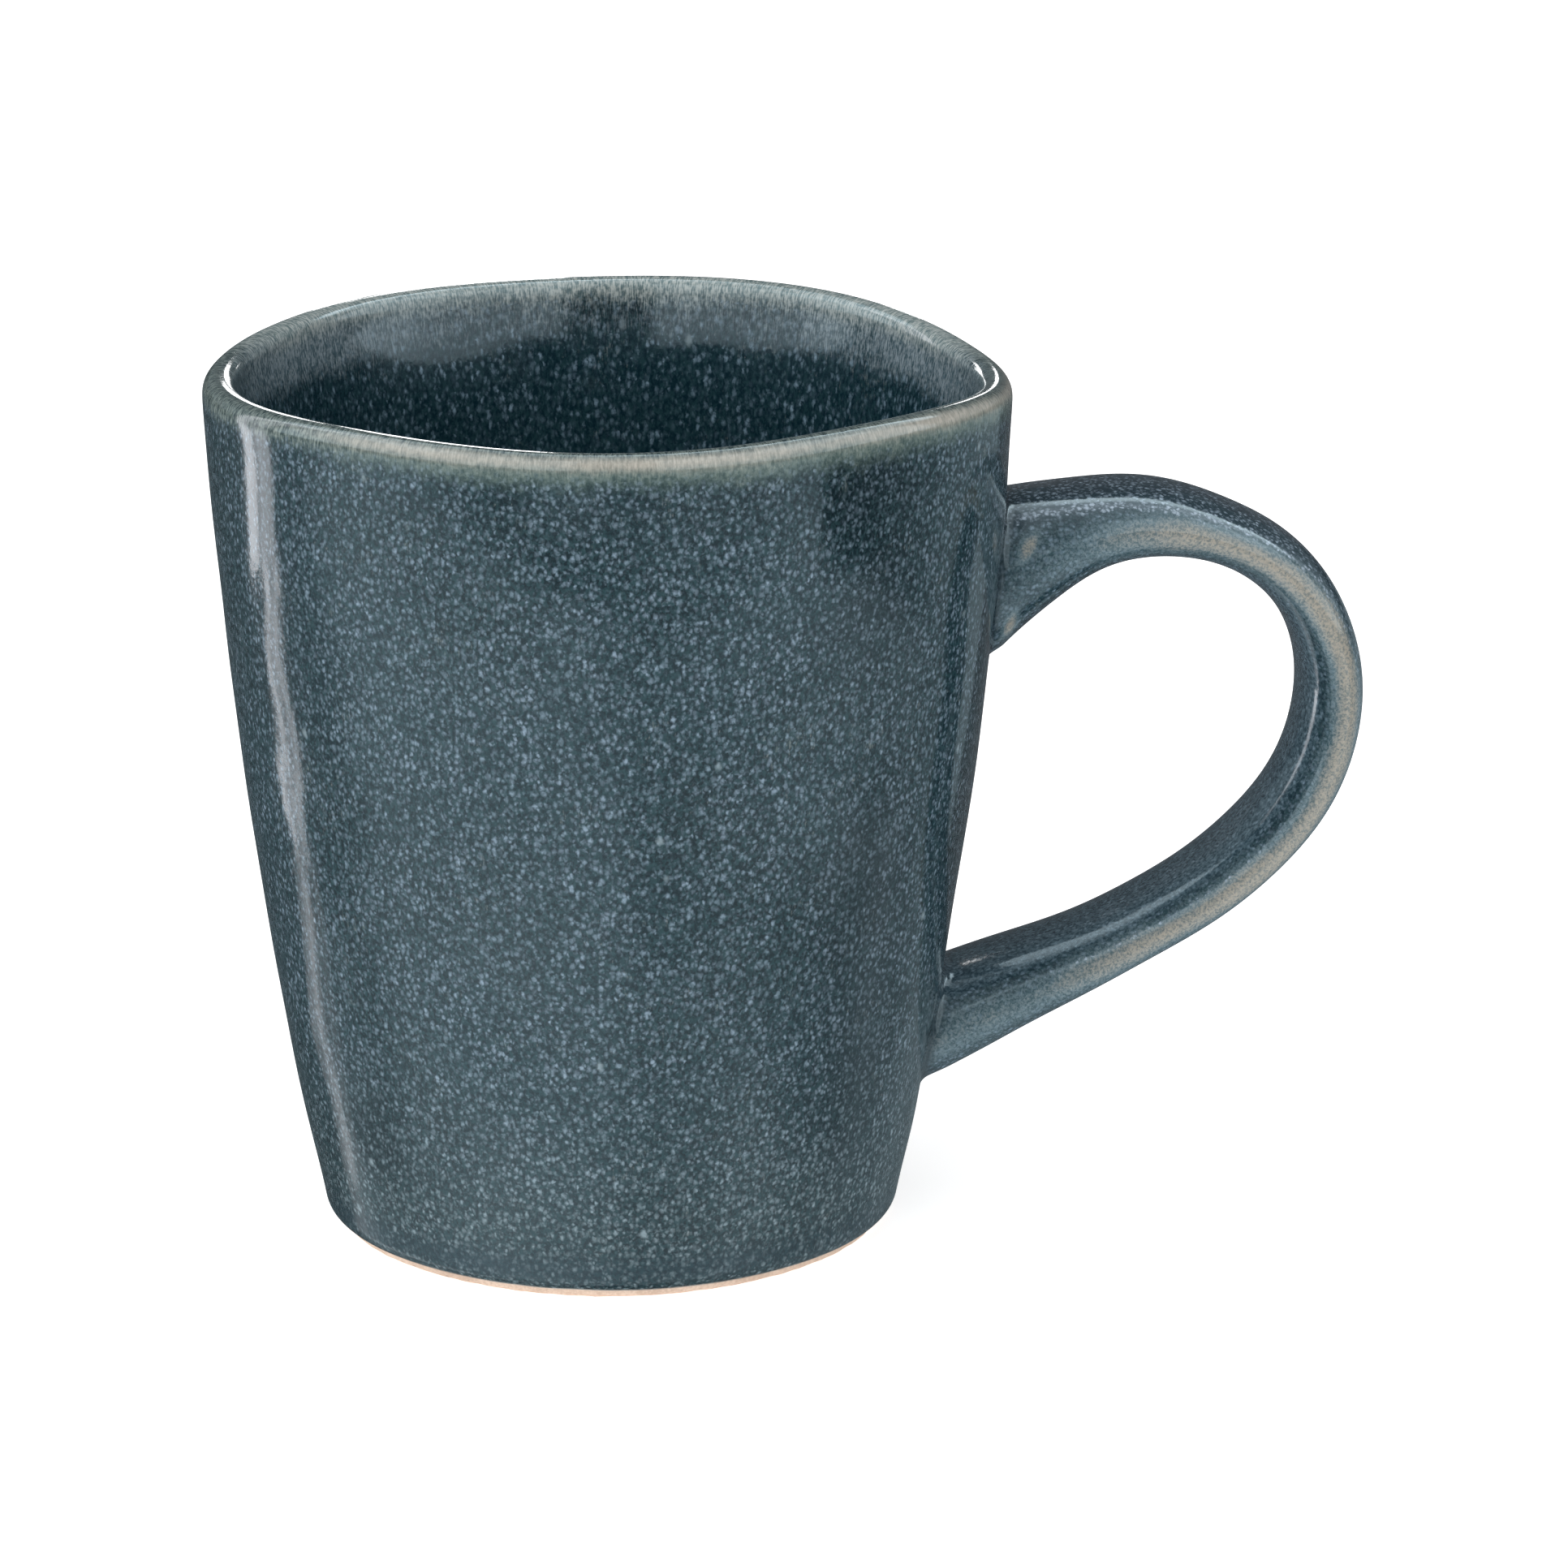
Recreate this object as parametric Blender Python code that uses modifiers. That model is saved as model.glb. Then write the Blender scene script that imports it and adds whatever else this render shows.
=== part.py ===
"""Hand-made stoneware mug with a strap handle.

Eight pieces: the thrown cup, the pulled handle, the two slip joints that lute
the handle on, and the four coats of glaze that lie on the clay. Everything is
modelled about the cup's own axis and then hung on one empty, which carries it
to the middle of the mug's footprint. Metres, +Z up, handle towards +X.
"""
import math

import bmesh
import bpy
from mathutils import Vector

# ---------------------------------------------------------------- dimensions
CUP_HEIGHT = 0.0960          # foot to lip
RIM_RADIUS = 0.0440          # outer radius of the glazed wall, carried up to the lip
TAPER_EVEN = 0.0050          # how much of the radius goes evenly down to the foot
TAPER_CURVED = 0.0077        # how much goes with the square of the depth
HIP_HEIGHT = 0.0030          # rounded corner above the foot: its height,
HIP_INSET = 0.0056           # how far it turns in
HIP_SQUARENESS = 2.2         # and the superellipse exponent of its line
LIP_TURN = 0.0022            # the lip's outer edge rolls over in this height
WALL = 0.0046                # finished wall, glaze included
WALL_AT_LIP = 0.0034
FLOOR_TOP = 0.0072           # inside floor, glaze included
FLOOR_CORNER = 0.0110        # inside corner between floor and wall

FOOT_INNER_RADIUS = 0.0222   # bare foot ring runs from here to the outer edge
FOOT_RECESS = 0.0020         # depth of the recess inside the foot ring
FOOT_GLAZE_LINE = 0.0008     # height at which the outer glaze was wiped off
FOOT_GLAZE_RADIUS = 0.0206

GLAZE = 0.00045              # thickness of a coat of glaze
GLAZE_GAP = 0.00015          # between a coat and the clay
CLAY = GLAZE + GLAZE_GAP     # the clay lies this far under the finished surface
CLEAR = 0.00030              # between neighbours that meet edge to edge
LINER_OVERLAP = 0.0020       # the liner coat comes over the lip and down this far

# The wall is not quite round: small second to fifth harmonics of the radius,
# full at the rim and a third of that at the foot, as (cos, sin) pairs.
WANDER = {
    2: (-0.00047, -0.00012), 3: (-0.00014, -0.00008),
    4: (0.00009, -0.00004), 5: (-0.00015, -0.00029),
}
WANDER_AT_FOOT = 0.35
# The lip rises and dips, and that dies away quickly down the wall.
LIP_WAVE = {
    1: (-0.00014, 0.00014), 2: (-0.00059, -0.00007),
    3: (-0.00024, -0.00017), 4: (-0.00030, -0.00004),
}
LEAN_X, LEAN_Y = 0.00037, 0.00016
# Flat pressed into the wall under the handle's upper root.
PRESS_DEPTH, PRESS_Z, PRESS_TALL, PRESS_WIDE = 0.0006, 0.0610, 0.0100, 0.50

# Handle: control points (x, z) of its centre line, a clamped cubic B-spline.
HANDLE_PATH = (
    (0.0387, 0.0706), (0.0523, 0.0794), (0.0712, 0.0764), (0.0802, 0.0649),
    (0.0806, 0.0490), (0.0664, 0.0326), (0.0441, 0.0246), (0.0350, 0.0207),
)
# Half thickness and half width of the strap at stations along it, 0 to 1.
STRAP_STATIONS = (0.0, 0.08, 0.20, 0.50, 0.85, 1.0)
STRAP_HALF_THICK = (0.0082, 0.0044, 0.0032, 0.0034, 0.0033, 0.0053)
STRAP_HALF_WIDE = (0.0102, 0.0092, 0.0086, 0.0085, 0.0086, 0.0096)
STRAP_SQUARENESS = 2.2       # superellipse exponent of the section
ROOT_RUN_IN = 0.0090         # the loft runs on this far inside the wall
SLIP = 0.0009                # thickness of a slip joint

AXIS_X, AXIS_Y = -0.0199, 0.0   # cup axis, from the middle of the footprint

AROUND = 40                  # facets round the cup
STRAP_AROUND = 16
STRAP_ALONG = 24

# ------------------------------------------------------------------- scene
for old in list(bpy.data.objects):
    bpy.data.objects.remove(old, do_unlink=True)

mug = bpy.data.collections.new("stoneware_mug")
cutters = bpy.data.collections.new("cutters")
bpy.context.scene.collection.children.link(mug)
bpy.context.scene.collection.children.link(cutters)

frame = bpy.data.objects.new("mug_frame", None)
frame.location = (AXIS_X, AXIS_Y, 0.0)
frame.empty_display_size = 0.02
mug.objects.link(frame)


def material(name, colour, roughness):
    mat = bpy.data.materials.new(name)
    mat.use_nodes = True
    bsdf = mat.node_tree.nodes["Principled BSDF"]
    bsdf.inputs["Base Color"].default_value = (*colour, 1.0)
    bsdf.inputs["Roughness"].default_value = roughness
    bsdf.inputs["Metallic"].default_value = 0.0
    mat.diffuse_color = (*colour, 1.0)
    return mat


CLAY_BARE = material("bare_stoneware", (0.60, 0.43, 0.33), 0.85)
CLAY_HANDLE = material("handle_stoneware", (0.58, 0.41, 0.31), 0.85)
CLAY_SLIP = material("slip", (0.50, 0.35, 0.27), 0.90)
GLAZE_OUTER = material("blue_reactive_glaze", (0.035, 0.075, 0.095), 0.15)
GLAZE_LINER = material("blue_liner_glaze", (0.015, 0.045, 0.065), 0.12)
GLAZE_HANDLE = material("blue_handle_glaze", (0.060, 0.100, 0.120), 0.15)
GLAZE_FOOT = material("blue_foot_glaze", (0.030, 0.065, 0.085), 0.20)

# ------------------------------------------------------------ turned profiles


def outer_radius(z):
    """Finished outer radius of the wall at height z, before the lip's roll."""
    depth = 1.0 - z / CUP_HEIGHT
    radius = RIM_RADIUS - TAPER_EVEN * depth - TAPER_CURVED * depth * depth
    if z < HIP_HEIGHT:
        climb = 1.0 - z / HIP_HEIGHT
        level = max(0.0, 1.0 - climb ** HIP_SQUARENESS) ** (1.0 / HIP_SQUARENESS)
        radius -= HIP_INSET * (1.0 - level)
    return radius


def inner_radius(z):
    """Finished inner radius of the wall at height z, above the floor's corner."""
    share = max(0.0, min(1.0, (z - 0.6 * CUP_HEIGHT) / (0.4 * CUP_HEIGHT)))
    return outer_radius(max(z, HIP_HEIGHT)) - WALL + (WALL - WALL_AT_LIP) * share


def outer_line(start, stop, wall_rows, hip_rows):
    """Points (r, z) down the outside, from height start to height stop: even
    rows down the wall, then rows evenly turned round the hip."""
    heights = [
        start + (HIP_HEIGHT - start) * i / wall_rows for i in range(wall_rows + 1)
    ]
    last = math.asin(1.0 - stop / HIP_HEIGHT)
    heights += [
        HIP_HEIGHT * (1.0 - math.sin(last * i / hip_rows)) for i in range(1, hip_rows + 1)
    ]
    return [(outer_radius(z), z) for z in heights]


def inner_line(wall_rows, corner_rows):
    """Points (r, z) from the middle of the inside floor out and up to the lip."""
    corner_z = FLOOR_TOP + FLOOR_CORNER
    wall_r = inner_radius(corner_z)
    points = [(0.0, FLOOR_TOP), (0.5 * (wall_r - FLOOR_CORNER), FLOOR_TOP)]
    for i in range(corner_rows + 1):
        turn = 0.5 * math.pi * i / corner_rows
        points.append((
            wall_r - FLOOR_CORNER * (1.0 - math.sin(turn)),
            corner_z - FLOOR_CORNER * math.cos(turn),
        ))
    top = CUP_HEIGHT - LIP_TURN
    for i in range(1, wall_rows + 1):
        z = corner_z + (top - corner_z) * i / wall_rows
        points.append((inner_radius(z), z))
    return points


def lip_line(rows):
    """Points (r, z) over the lip, from its inner shoulder to its outer one,
    both shoulders left out."""
    z0 = CUP_HEIGHT - LIP_TURN
    inner, outer = inner_radius(z0), outer_radius(z0)
    middle, half = 0.5 * (inner + outer), 0.5 * (outer - inner)
    points = []
    for i in range(1, rows):
        turn = math.pi * i / rows
        points.append((middle - half * math.cos(turn), z0 + LIP_TURN * math.sin(turn)))
    return points


def sunk(points, depth):
    """The same line moved square to itself by depth, towards the clay. The line
    runs up the inside and down the outside, so the clay is on its right."""
    moved = []
    last = len(points) - 1
    for i, (r, z) in enumerate(points):
        ax, az = points[max(0, i - 1)]
        bx, bz = points[min(last, i + 1)]
        dx, dz = bx - ax, bz - az
        length = math.hypot(dx, dz)
        if r == 0.0:
            moved.append((0.0, z - depth * (1 if dx > 0 else -1)))
        else:
            moved.append((r + depth * dz / length, z - depth * dx / length))
    return moved


INSIDE = inner_line(6, 4)
LIP = lip_line(5)
OUTSIDE = outer_line(CUP_HEIGHT - LIP_TURN, FOOT_GLAZE_LINE, 8, 4)

# ----------------------------------------------------------- building blocks


def thrown(point):
    """Moves a point of the perfectly turned cup to where the hands left it."""
    x, y, z = point
    radius, angle = math.hypot(x, y), math.atan2(y, x)
    up = max(0.0, min(1.0, z / CUP_HEIGHT))
    share = min(1.0, radius / outer_radius(min(max(z, 0.0), CUP_HEIGHT)))
    wander = sum(
        c * math.cos(k * angle) + s * math.sin(k * angle) for k, (c, s) in WANDER.items()
    )
    wave = sum(
        c * math.cos(k * angle) + s * math.sin(k * angle) for k, (c, s) in LIP_WAVE.items()
    )
    press = PRESS_DEPTH * math.exp(
        -((z - PRESS_Z) / PRESS_TALL) ** 2 - (angle / PRESS_WIDE) ** 2
    )
    moved = radius + share * (
        (WANDER_AT_FOOT + (1.0 - WANDER_AT_FOOT) * up * up) * wander - press
    )
    return Vector((
        moved * math.cos(angle) + LEAN_X * up,
        moved * math.sin(angle) + LEAN_Y * up,
        z + up ** 3 * wave,
    ))


def turned(name, profile, closed, mat=None):
    """Spins a profile of (r, z) points with a Screw and then throws it out of
    true. The profile runs up the inside and down the outside."""
    mesh = bpy.data.meshes.new(name)
    verts = [(r, 0.0, z) for r, z in profile]
    edges = [(i, i + 1) for i in range(len(verts) - 1)]
    if closed:
        edges.append((len(verts) - 1, 0))
    mesh.from_pydata(verts, edges, [])
    obj = bpy.data.objects.new(name, mesh)
    (mug if mat else cutters).objects.link(obj)
    screw = obj.modifiers.new("spin", "SCREW")
    screw.axis = "Z"
    screw.angle = 2.0 * math.pi
    screw.steps = AROUND
    screw.render_steps = AROUND
    screw.use_merge_vertices = True
    screw.merge_threshold = 0.00001
    spun = bpy.data.meshes.new_from_object(
        obj.evaluated_get(bpy.context.evaluated_depsgraph_get())
    )
    obj.modifiers.remove(screw)
    obj.data = spun
    spun.name = name
    bpy.data.meshes.remove(mesh)
    for vertex in spun.vertices:
        vertex.co = thrown(vertex.co)
    return finish(obj, mat)


def finish(obj, mat):
    """Triangles, smooth shading, material and parent, or a cutter's settings."""
    work = bmesh.new()
    work.from_mesh(obj.data)
    bmesh.ops.triangulate(work, faces=work.faces[:])
    work.to_mesh(obj.data)
    work.free()
    obj.parent = frame
    if mat:
        obj.data.materials.clear()
        obj.data.materials.append(mat)
        obj.data.shade_smooth()
        obj.data.set_sharp_from_angle(angle=math.radians(40))
    else:
        obj.hide_render = True
        obj.display_type = "WIRE"
    return obj


def spline(share):
    """Point and unit direction of the handle's centre line at share, 0 to 1."""
    count, degree = len(HANDLE_PATH), 3
    spans = count - degree
    knots = [0.0] * degree + [i / spans for i in range(spans + 1)] + [1.0] * degree

    def at(t):
        t = min(max(t, 0.0), 1.0 - 1e-9)
        span = degree + int(t * spans)
        pts = [Vector(HANDLE_PATH[span - degree + i]) for i in range(degree + 1)]
        for level in range(1, degree + 1):
            for i in range(degree, level - 1, -1):
                left = knots[span - degree + i]
                right = knots[span + 1 + i - level]
                mix = (t - left) / (right - left)
                pts[i] = pts[i - 1].lerp(pts[i], mix)
        return pts[degree]

    step = 1e-4
    low, high = max(0.0, share - step), min(1.0, share + step)
    return at(share), (at(high) - at(low)).normalized()


def along(stations, values, share):
    """Smooth value of a quantity given at stations."""
    for i in range(len(stations) - 1):
        if share <= stations[i + 1] or i == len(stations) - 2:
            part = (share - stations[i]) / (stations[i + 1] - stations[i])
            part = min(max(part, 0.0), 1.0)
            part = part * part * (3.0 - 2.0 * part) * 0.5 + part * 0.5
            return values[i] + (values[i + 1] - values[i]) * part
    return values[-1]


def strap_ring(share, grow, run=0.0):
    """One section of the strap, grown by grow, and moved run along the line."""
    centre, way = spline(share)
    thick = along(STRAP_STATIONS, STRAP_HALF_THICK, share) + grow
    wide = along(STRAP_STATIONS, STRAP_HALF_WIDE, share) + grow
    ring = []
    for i in range(STRAP_AROUND):
        turn = 2.0 * math.pi * i / STRAP_AROUND
        c, s = math.cos(turn), math.sin(turn)
        c = math.copysign(abs(c) ** (2.0 / STRAP_SQUARENESS), c)
        s = math.copysign(abs(s) ** (2.0 / STRAP_SQUARENESS), s)
        ring.append(Vector((
            centre.x + run * way.x - thick * c * way.y,
            wide * s,
            centre.y + run * way.y + thick * c * way.x,
        )))
    return ring


def strap_rings(grow, first=0.0, last=1.0):
    """Sections from first to last, with a run-in past each end that is a root."""
    count = max(4, round(STRAP_ALONG * (last - first)))
    rings = []
    if first == 0.0:
        rings.append(strap_ring(0.0, grow, -ROOT_RUN_IN))
    for i in range(count + 1):
        rings.append(strap_ring(first + (last - first) * i / count, grow))
    if last == 1.0:
        rings.append(strap_ring(1.0, grow, ROOT_RUN_IN))
    return rings


def loft(name, rings, mat=None, bore=None):
    """Skins a run of sections and caps it. With bore, a second run of sections
    makes it a tube and the two are joined by a ring of faces at each end."""
    work = bmesh.new()
    outer = [[work.verts.new(p) for p in ring] for ring in rings]
    n = STRAP_AROUND
    for a, b in zip(outer, outer[1:]):
        for i in range(n):
            j = (i + 1) % n
            work.faces.new((a[i], a[j], b[j], b[i]))
    if bore:
        inner = [[work.verts.new(p) for p in ring] for ring in bore]
        for a, b in zip(inner, inner[1:]):
            for i in range(n):
                j = (i + 1) % n
                work.faces.new((b[i], b[j], a[j], a[i]))
        for a, b, flip in ((outer[0], inner[0], 0), (outer[-1], inner[-1], 1)):
            for i in range(n):
                j = (i + 1) % n
                quad = (a[i], b[i], b[j], a[j])
                work.faces.new(quad[::-1] if flip else quad)
    else:
        work.faces.new(outer[0][::-1])
        work.faces.new(outer[-1])
    bmesh.ops.recalc_face_normals(work, faces=work.faces[:])
    mesh = bpy.data.meshes.new(name)
    work.to_mesh(mesh)
    work.free()
    obj = bpy.data.objects.new(name, mesh)
    (mug if mat else cutters).objects.link(obj)
    return finish(obj, mat)


def cut(obj, cutter, operation="DIFFERENCE"):
    boolean = obj.modifiers.new(cutter.name, "BOOLEAN")
    boolean.operation = operation
    boolean.solver = "EXACT"
    boolean.object = cutter


def cup_block(name, over_clay):
    """The cup as a solid block with its side over_clay outside the clay."""
    side = sunk(OUTSIDE, CLAY - over_clay)
    return turned(
        name,
        [(0.0, CUP_HEIGHT - LIP_TURN)] + side + [(0.0, side[-1][1])],
        closed=False,
    )


# ------------------------------------------------------------------- the cup
clay_inside = sunk(INSIDE + LIP, CLAY)
clay_outside = sunk(OUTSIDE, CLAY)
foot_outer = clay_outside[-1][0] - 0.0009
turned(
    "cup_body",
    clay_inside + clay_outside + [
        (foot_outer, 0.0),
        (0.5 * (foot_outer + FOOT_INNER_RADIUS), 0.0),
        (FOOT_INNER_RADIUS, 0.0),
        (FOOT_INNER_RADIUS - 0.0008, FOOT_RECESS),
        (0.5 * FOOT_INNER_RADIUS, FOOT_RECESS),
        (0.0, FOOT_RECESS),
    ],
    closed=False,
    mat=CLAY_BARE,
)

# The liner coat covers the floor, the inside and the lip, and ends just over
# the lip's outer shoulder.
over_lip = [(outer_radius(z), z) for z in (
    CUP_HEIGHT - LIP_TURN, CUP_HEIGHT - LIP_TURN - LINER_OVERLAP)]
liner_face = INSIDE + LIP + over_lip
turned(
    "liner_glaze",
    liner_face + sunk(liner_face, GLAZE)[::-1],
    closed=False,
    mat=GLAZE_LINER,
)

# The outer coat starts below the liner's edge and ends at the wiped foot.
outer_face = [
    (outer_radius(CUP_HEIGHT - LIP_TURN - LINER_OVERLAP - CLEAR),
     CUP_HEIGHT - LIP_TURN - LINER_OVERLAP - CLEAR)
] + OUTSIDE[1:]
outer_coat = turned(
    "outer_glaze",
    outer_face + sunk(outer_face, GLAZE)[::-1],
    closed=True,
    mat=GLAZE_OUTER,
)

# Island of glaze in the recess inside the bare foot ring.
island_z = FOOT_RECESS - GLAZE_GAP
turned(
    "foot_recess_glaze",
    [(0.0, island_z), (0.5 * FOOT_GLAZE_RADIUS, island_z), (FOOT_GLAZE_RADIUS, island_z),
     (FOOT_GLAZE_RADIUS - 0.0004, island_z - GLAZE),
     (0.5 * FOOT_GLAZE_RADIUS, island_z - GLAZE), (0.0, island_z - GLAZE)],
    closed=False,
    mat=GLAZE_FOOT,
)

# ---------------------------------------------------------------- the handle
touching_clay = cup_block("block_at_clay", CLEAR)
over_slip = cup_block("block_over_slip", CLEAR + SLIP)
over_joint = cup_block("block_over_joint", 2.0 * CLEAR + SLIP)

handle = loft("handle", strap_rings(-CLAY), CLAY_HANDLE)
cut(handle, over_joint)

for name, first, last in (("upper_slip_joint", 0.0, 0.2), ("lower_slip_joint", 0.8, 1.0)):
    pad = loft(name, strap_rings(-CLAY, first, last), CLAY_SLIP)
    cut(pad, touching_clay)
    cut(pad, over_slip, "INTERSECT")

coat = loft(
    "handle_glaze", strap_rings(0.0), GLAZE_HANDLE, bore=strap_rings(-GLAZE)
)
cut(coat, touching_clay)

cut(outer_coat, loft("strap_clearance", strap_rings(CLEAR)))
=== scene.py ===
"""Looks of the hand-made stoneware mug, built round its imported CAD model.

The finished surfaces are rebuilt at high resolution from the same turned
profiles and the same strap line as the CAD, in metres, in the row frame. The
cup stands about its own axis, which is a little to the -X side of the origin.
"""
import math

import bpy
import numpy as np
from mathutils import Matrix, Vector


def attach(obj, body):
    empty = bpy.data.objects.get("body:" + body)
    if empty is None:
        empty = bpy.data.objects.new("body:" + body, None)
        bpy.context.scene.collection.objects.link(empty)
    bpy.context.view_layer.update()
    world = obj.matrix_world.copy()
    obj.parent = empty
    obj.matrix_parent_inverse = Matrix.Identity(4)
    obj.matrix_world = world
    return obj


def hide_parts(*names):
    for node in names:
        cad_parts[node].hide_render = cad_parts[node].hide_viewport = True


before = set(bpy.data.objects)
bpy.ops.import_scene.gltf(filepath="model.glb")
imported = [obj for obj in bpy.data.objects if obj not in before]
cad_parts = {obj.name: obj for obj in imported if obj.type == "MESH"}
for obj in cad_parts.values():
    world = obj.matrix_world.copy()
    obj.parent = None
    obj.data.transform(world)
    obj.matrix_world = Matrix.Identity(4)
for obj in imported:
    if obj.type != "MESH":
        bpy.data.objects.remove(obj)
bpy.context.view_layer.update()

# ------------------------------------------------------------------ dimensions
CUP_HEIGHT = 0.0960
RIM_RADIUS = 0.0440
TAPER_EVEN, TAPER_CURVED = 0.0050, 0.0077
HIP_HEIGHT, HIP_INSET, HIP_SQUARENESS = 0.0030, 0.0056, 2.2
LIP_TURN = 0.0022
WALL, WALL_AT_LIP = 0.0046, 0.0036
FLARE = 0.0120                    # the inside opens out over this height at the lip
FLOOR_TOP, FLOOR_CORNER = 0.0072, 0.0110
FOOT_INNER_RADIUS, FOOT_RECESS = 0.0222, 0.0020
FOOT_GLAZE_LINE, FOOT_GLAZE_RADIUS = 0.0008, 0.0206
GLAZE, CLAY = 0.00045, 0.00060
AXIS = (-0.0199, 0.0)

WANDER = {
    2: (-0.00047, -0.00012), 3: (-0.00014, -0.00008),
    4: (0.00009, -0.00004), 5: (-0.00015, -0.00029),
}
WANDER_AT_FOOT = 0.35
LIP_WAVE = {
    1: (-0.00014, 0.00014), 2: (-0.00059, -0.00007),
    3: (-0.00024, -0.00017), 4: (-0.00030, -0.00004),
}
LEAN_X, LEAN_Y = 0.00037, 0.00016
PRESS_DEPTH, PRESS_Z, PRESS_TALL, PRESS_WIDE = 0.0006, 0.0610, 0.0100, 0.50

HANDLE_PATH = (
    (0.0387, 0.0706), (0.0523, 0.0794), (0.0712, 0.0764), (0.0802, 0.0649),
    (0.0806, 0.0490), (0.0664, 0.0326), (0.0441, 0.0246), (0.0350, 0.0207),
)
STRAP_STATIONS = (0.0, 0.08, 0.20, 0.50, 0.85, 1.0)
STRAP_HALF_THICK = (0.0082, 0.0044, 0.0032, 0.0034, 0.0033, 0.0053)
STRAP_HALF_WIDE = (0.0102, 0.0092, 0.0086, 0.0085, 0.0086, 0.0096)
STRAP_SQUARENESS = 2.2
ROOT_RUN_IN = 0.0090

# Where the fingers left the turned wall a little in or out, by height.
THROWING_RINGS = (
    (0.0, 0.05, 0.12, 0.22, 0.35, 0.50, 0.65, 0.80, 0.92, 1.0),
    (-0.03, -0.09, 0.094, 0.071, -0.059, 0.077, -0.066, 0.057, -0.026, -0.030),
)

AROUND = 300
STRAP_AROUND = 112

# --------------------------------------------------------------------- shapes


def natural_spline(xs, ys):
    """A natural cubic spline through the points, as a function of an array."""
    x, y = np.array(xs, float), np.array(ys, float)
    h = np.diff(x)
    n = len(x)
    a = np.eye(n)
    b = np.zeros(n)
    for i in range(1, n - 1):
        a[i, i - 1], a[i, i], a[i, i + 1] = h[i - 1], 2 * (h[i - 1] + h[i]), h[i]
        b[i] = 6 * ((y[i + 1] - y[i]) / h[i] - (y[i] - y[i - 1]) / h[i - 1])
    m = np.linalg.solve(a, b)

    def at(t):
        t = np.clip(t, x[0], x[-1])
        k = np.clip(np.searchsorted(x, t, side="right") - 1, 0, n - 2)
        p, q, w = x[k + 1] - t, t - x[k], h[k]
        return (
            m[k] * p ** 3 / (6 * w) + m[k + 1] * q ** 3 / (6 * w)
            + (y[k] / w - m[k] * w / 6) * p + (y[k + 1] / w - m[k + 1] * w / 6) * q
        )

    return at


ring_of_fingers = natural_spline(*THROWING_RINGS)


def outer_radius(z):
    """Finished outer radius of the turned wall, before the lip's roll."""
    z = np.asarray(z, float)
    depth = 1.0 - z / CUP_HEIGHT
    radius = RIM_RADIUS - TAPER_EVEN * depth - TAPER_CURVED * depth * depth
    climb = np.clip(1.0 - z / HIP_HEIGHT, 0.0, 1.0)
    level = np.maximum(0.0, 1.0 - climb ** HIP_SQUARENESS) ** (1.0 / HIP_SQUARENESS)
    return radius - HIP_INSET * (1.0 - level)


def inner_radius(z):
    """Finished inner radius above the floor's corner; it opens out at the lip."""
    z = np.asarray(z, float)
    share = np.clip((z - (CUP_HEIGHT - LIP_TURN - FLARE)) / FLARE, 0.0, 1.0)
    return outer_radius(np.maximum(z, HIP_HEIGHT)) - WALL + (WALL - WALL_AT_LIP) * share ** 2


def harmonics(table, angle):
    return sum(c * np.cos(k * angle) + s * np.sin(k * angle) for k, (c, s) in table.items())


def wobble(angle, z):
    """Long shallow unevenness of the wall left by the hands."""
    up = z / CUP_HEIGHT
    total = np.zeros(np.broadcast(angle, z).shape)
    for amount, around, waves, phase in (
        (0.000060, 3, 1.9, 0.8), (0.000052, 5, -2.6, 2.1), (0.000040, 7, 3.3, 4.0),
        (0.000034, 6, -1.4, 5.3), (0.000024, 9, 4.1, 1.1), (0.000018, 11, -3.7, 3.0),
        (0.000012, 14, 6.2, 0.4), (0.000010, 17, -5.4, 2.7),
    ):
        total = total + amount * np.sin(around * angle + 2 * math.pi * waves * up + phase)
    return total * np.clip(up * 6.0, 0.0, 1.0)


def bumped(angle, z, spots):
    """Sum of small dents and swellings at given places: angle in degrees, height,
    half sizes across (degrees) and up, depth."""
    total = np.zeros(np.broadcast(angle, z).shape)
    for a, height, wide, tall, depth in spots:
        turn = np.degrees((angle - math.radians(a) + math.pi) % (2 * math.pi) - math.pi)
        total = total + depth * np.exp(-(turn / wide) ** 2 - ((z - height) / tall) ** 2)
    return total


TOUCHES = (
    (-148.0, 0.0850, 11.0, 0.0085, 0.00025),
    (-148.0, 0.0705, 11.0, 0.0080, -0.00018),
    (-146.0, 0.0180, 16.0, 0.0060, -0.00022),
    (-150.0, 0.0080, 20.0, 0.0050, 0.00018),
    (-20.0, 0.0170, 14.0, 0.0050, -0.00018),
    (-105.0, 0.0420, 14.0, 0.0160, -0.00010),
    (-60.0, 0.0600, 12.0, 0.0180, -0.00008),
    (70.0, 0.0500, 20.0, 0.0200, -0.00020),
    (130.0, 0.0300, 18.0, 0.0150, 0.00016),
)


def wall_shift(angle, z):
    """How far the thrown wall lies outside the turned one, at the full radius."""
    up = np.clip(z / CUP_HEIGHT, 0.0, 1.0)
    press = PRESS_DEPTH * np.exp(-((z - PRESS_Z) / PRESS_TALL) ** 2 - (angle / PRESS_WIDE) ** 2)
    return (
        (WANDER_AT_FOOT + (1.0 - WANDER_AT_FOOT) * up * up) * harmonics(WANDER, angle)
        - press + 0.001 * ring_of_fingers(up)
    )


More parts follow.
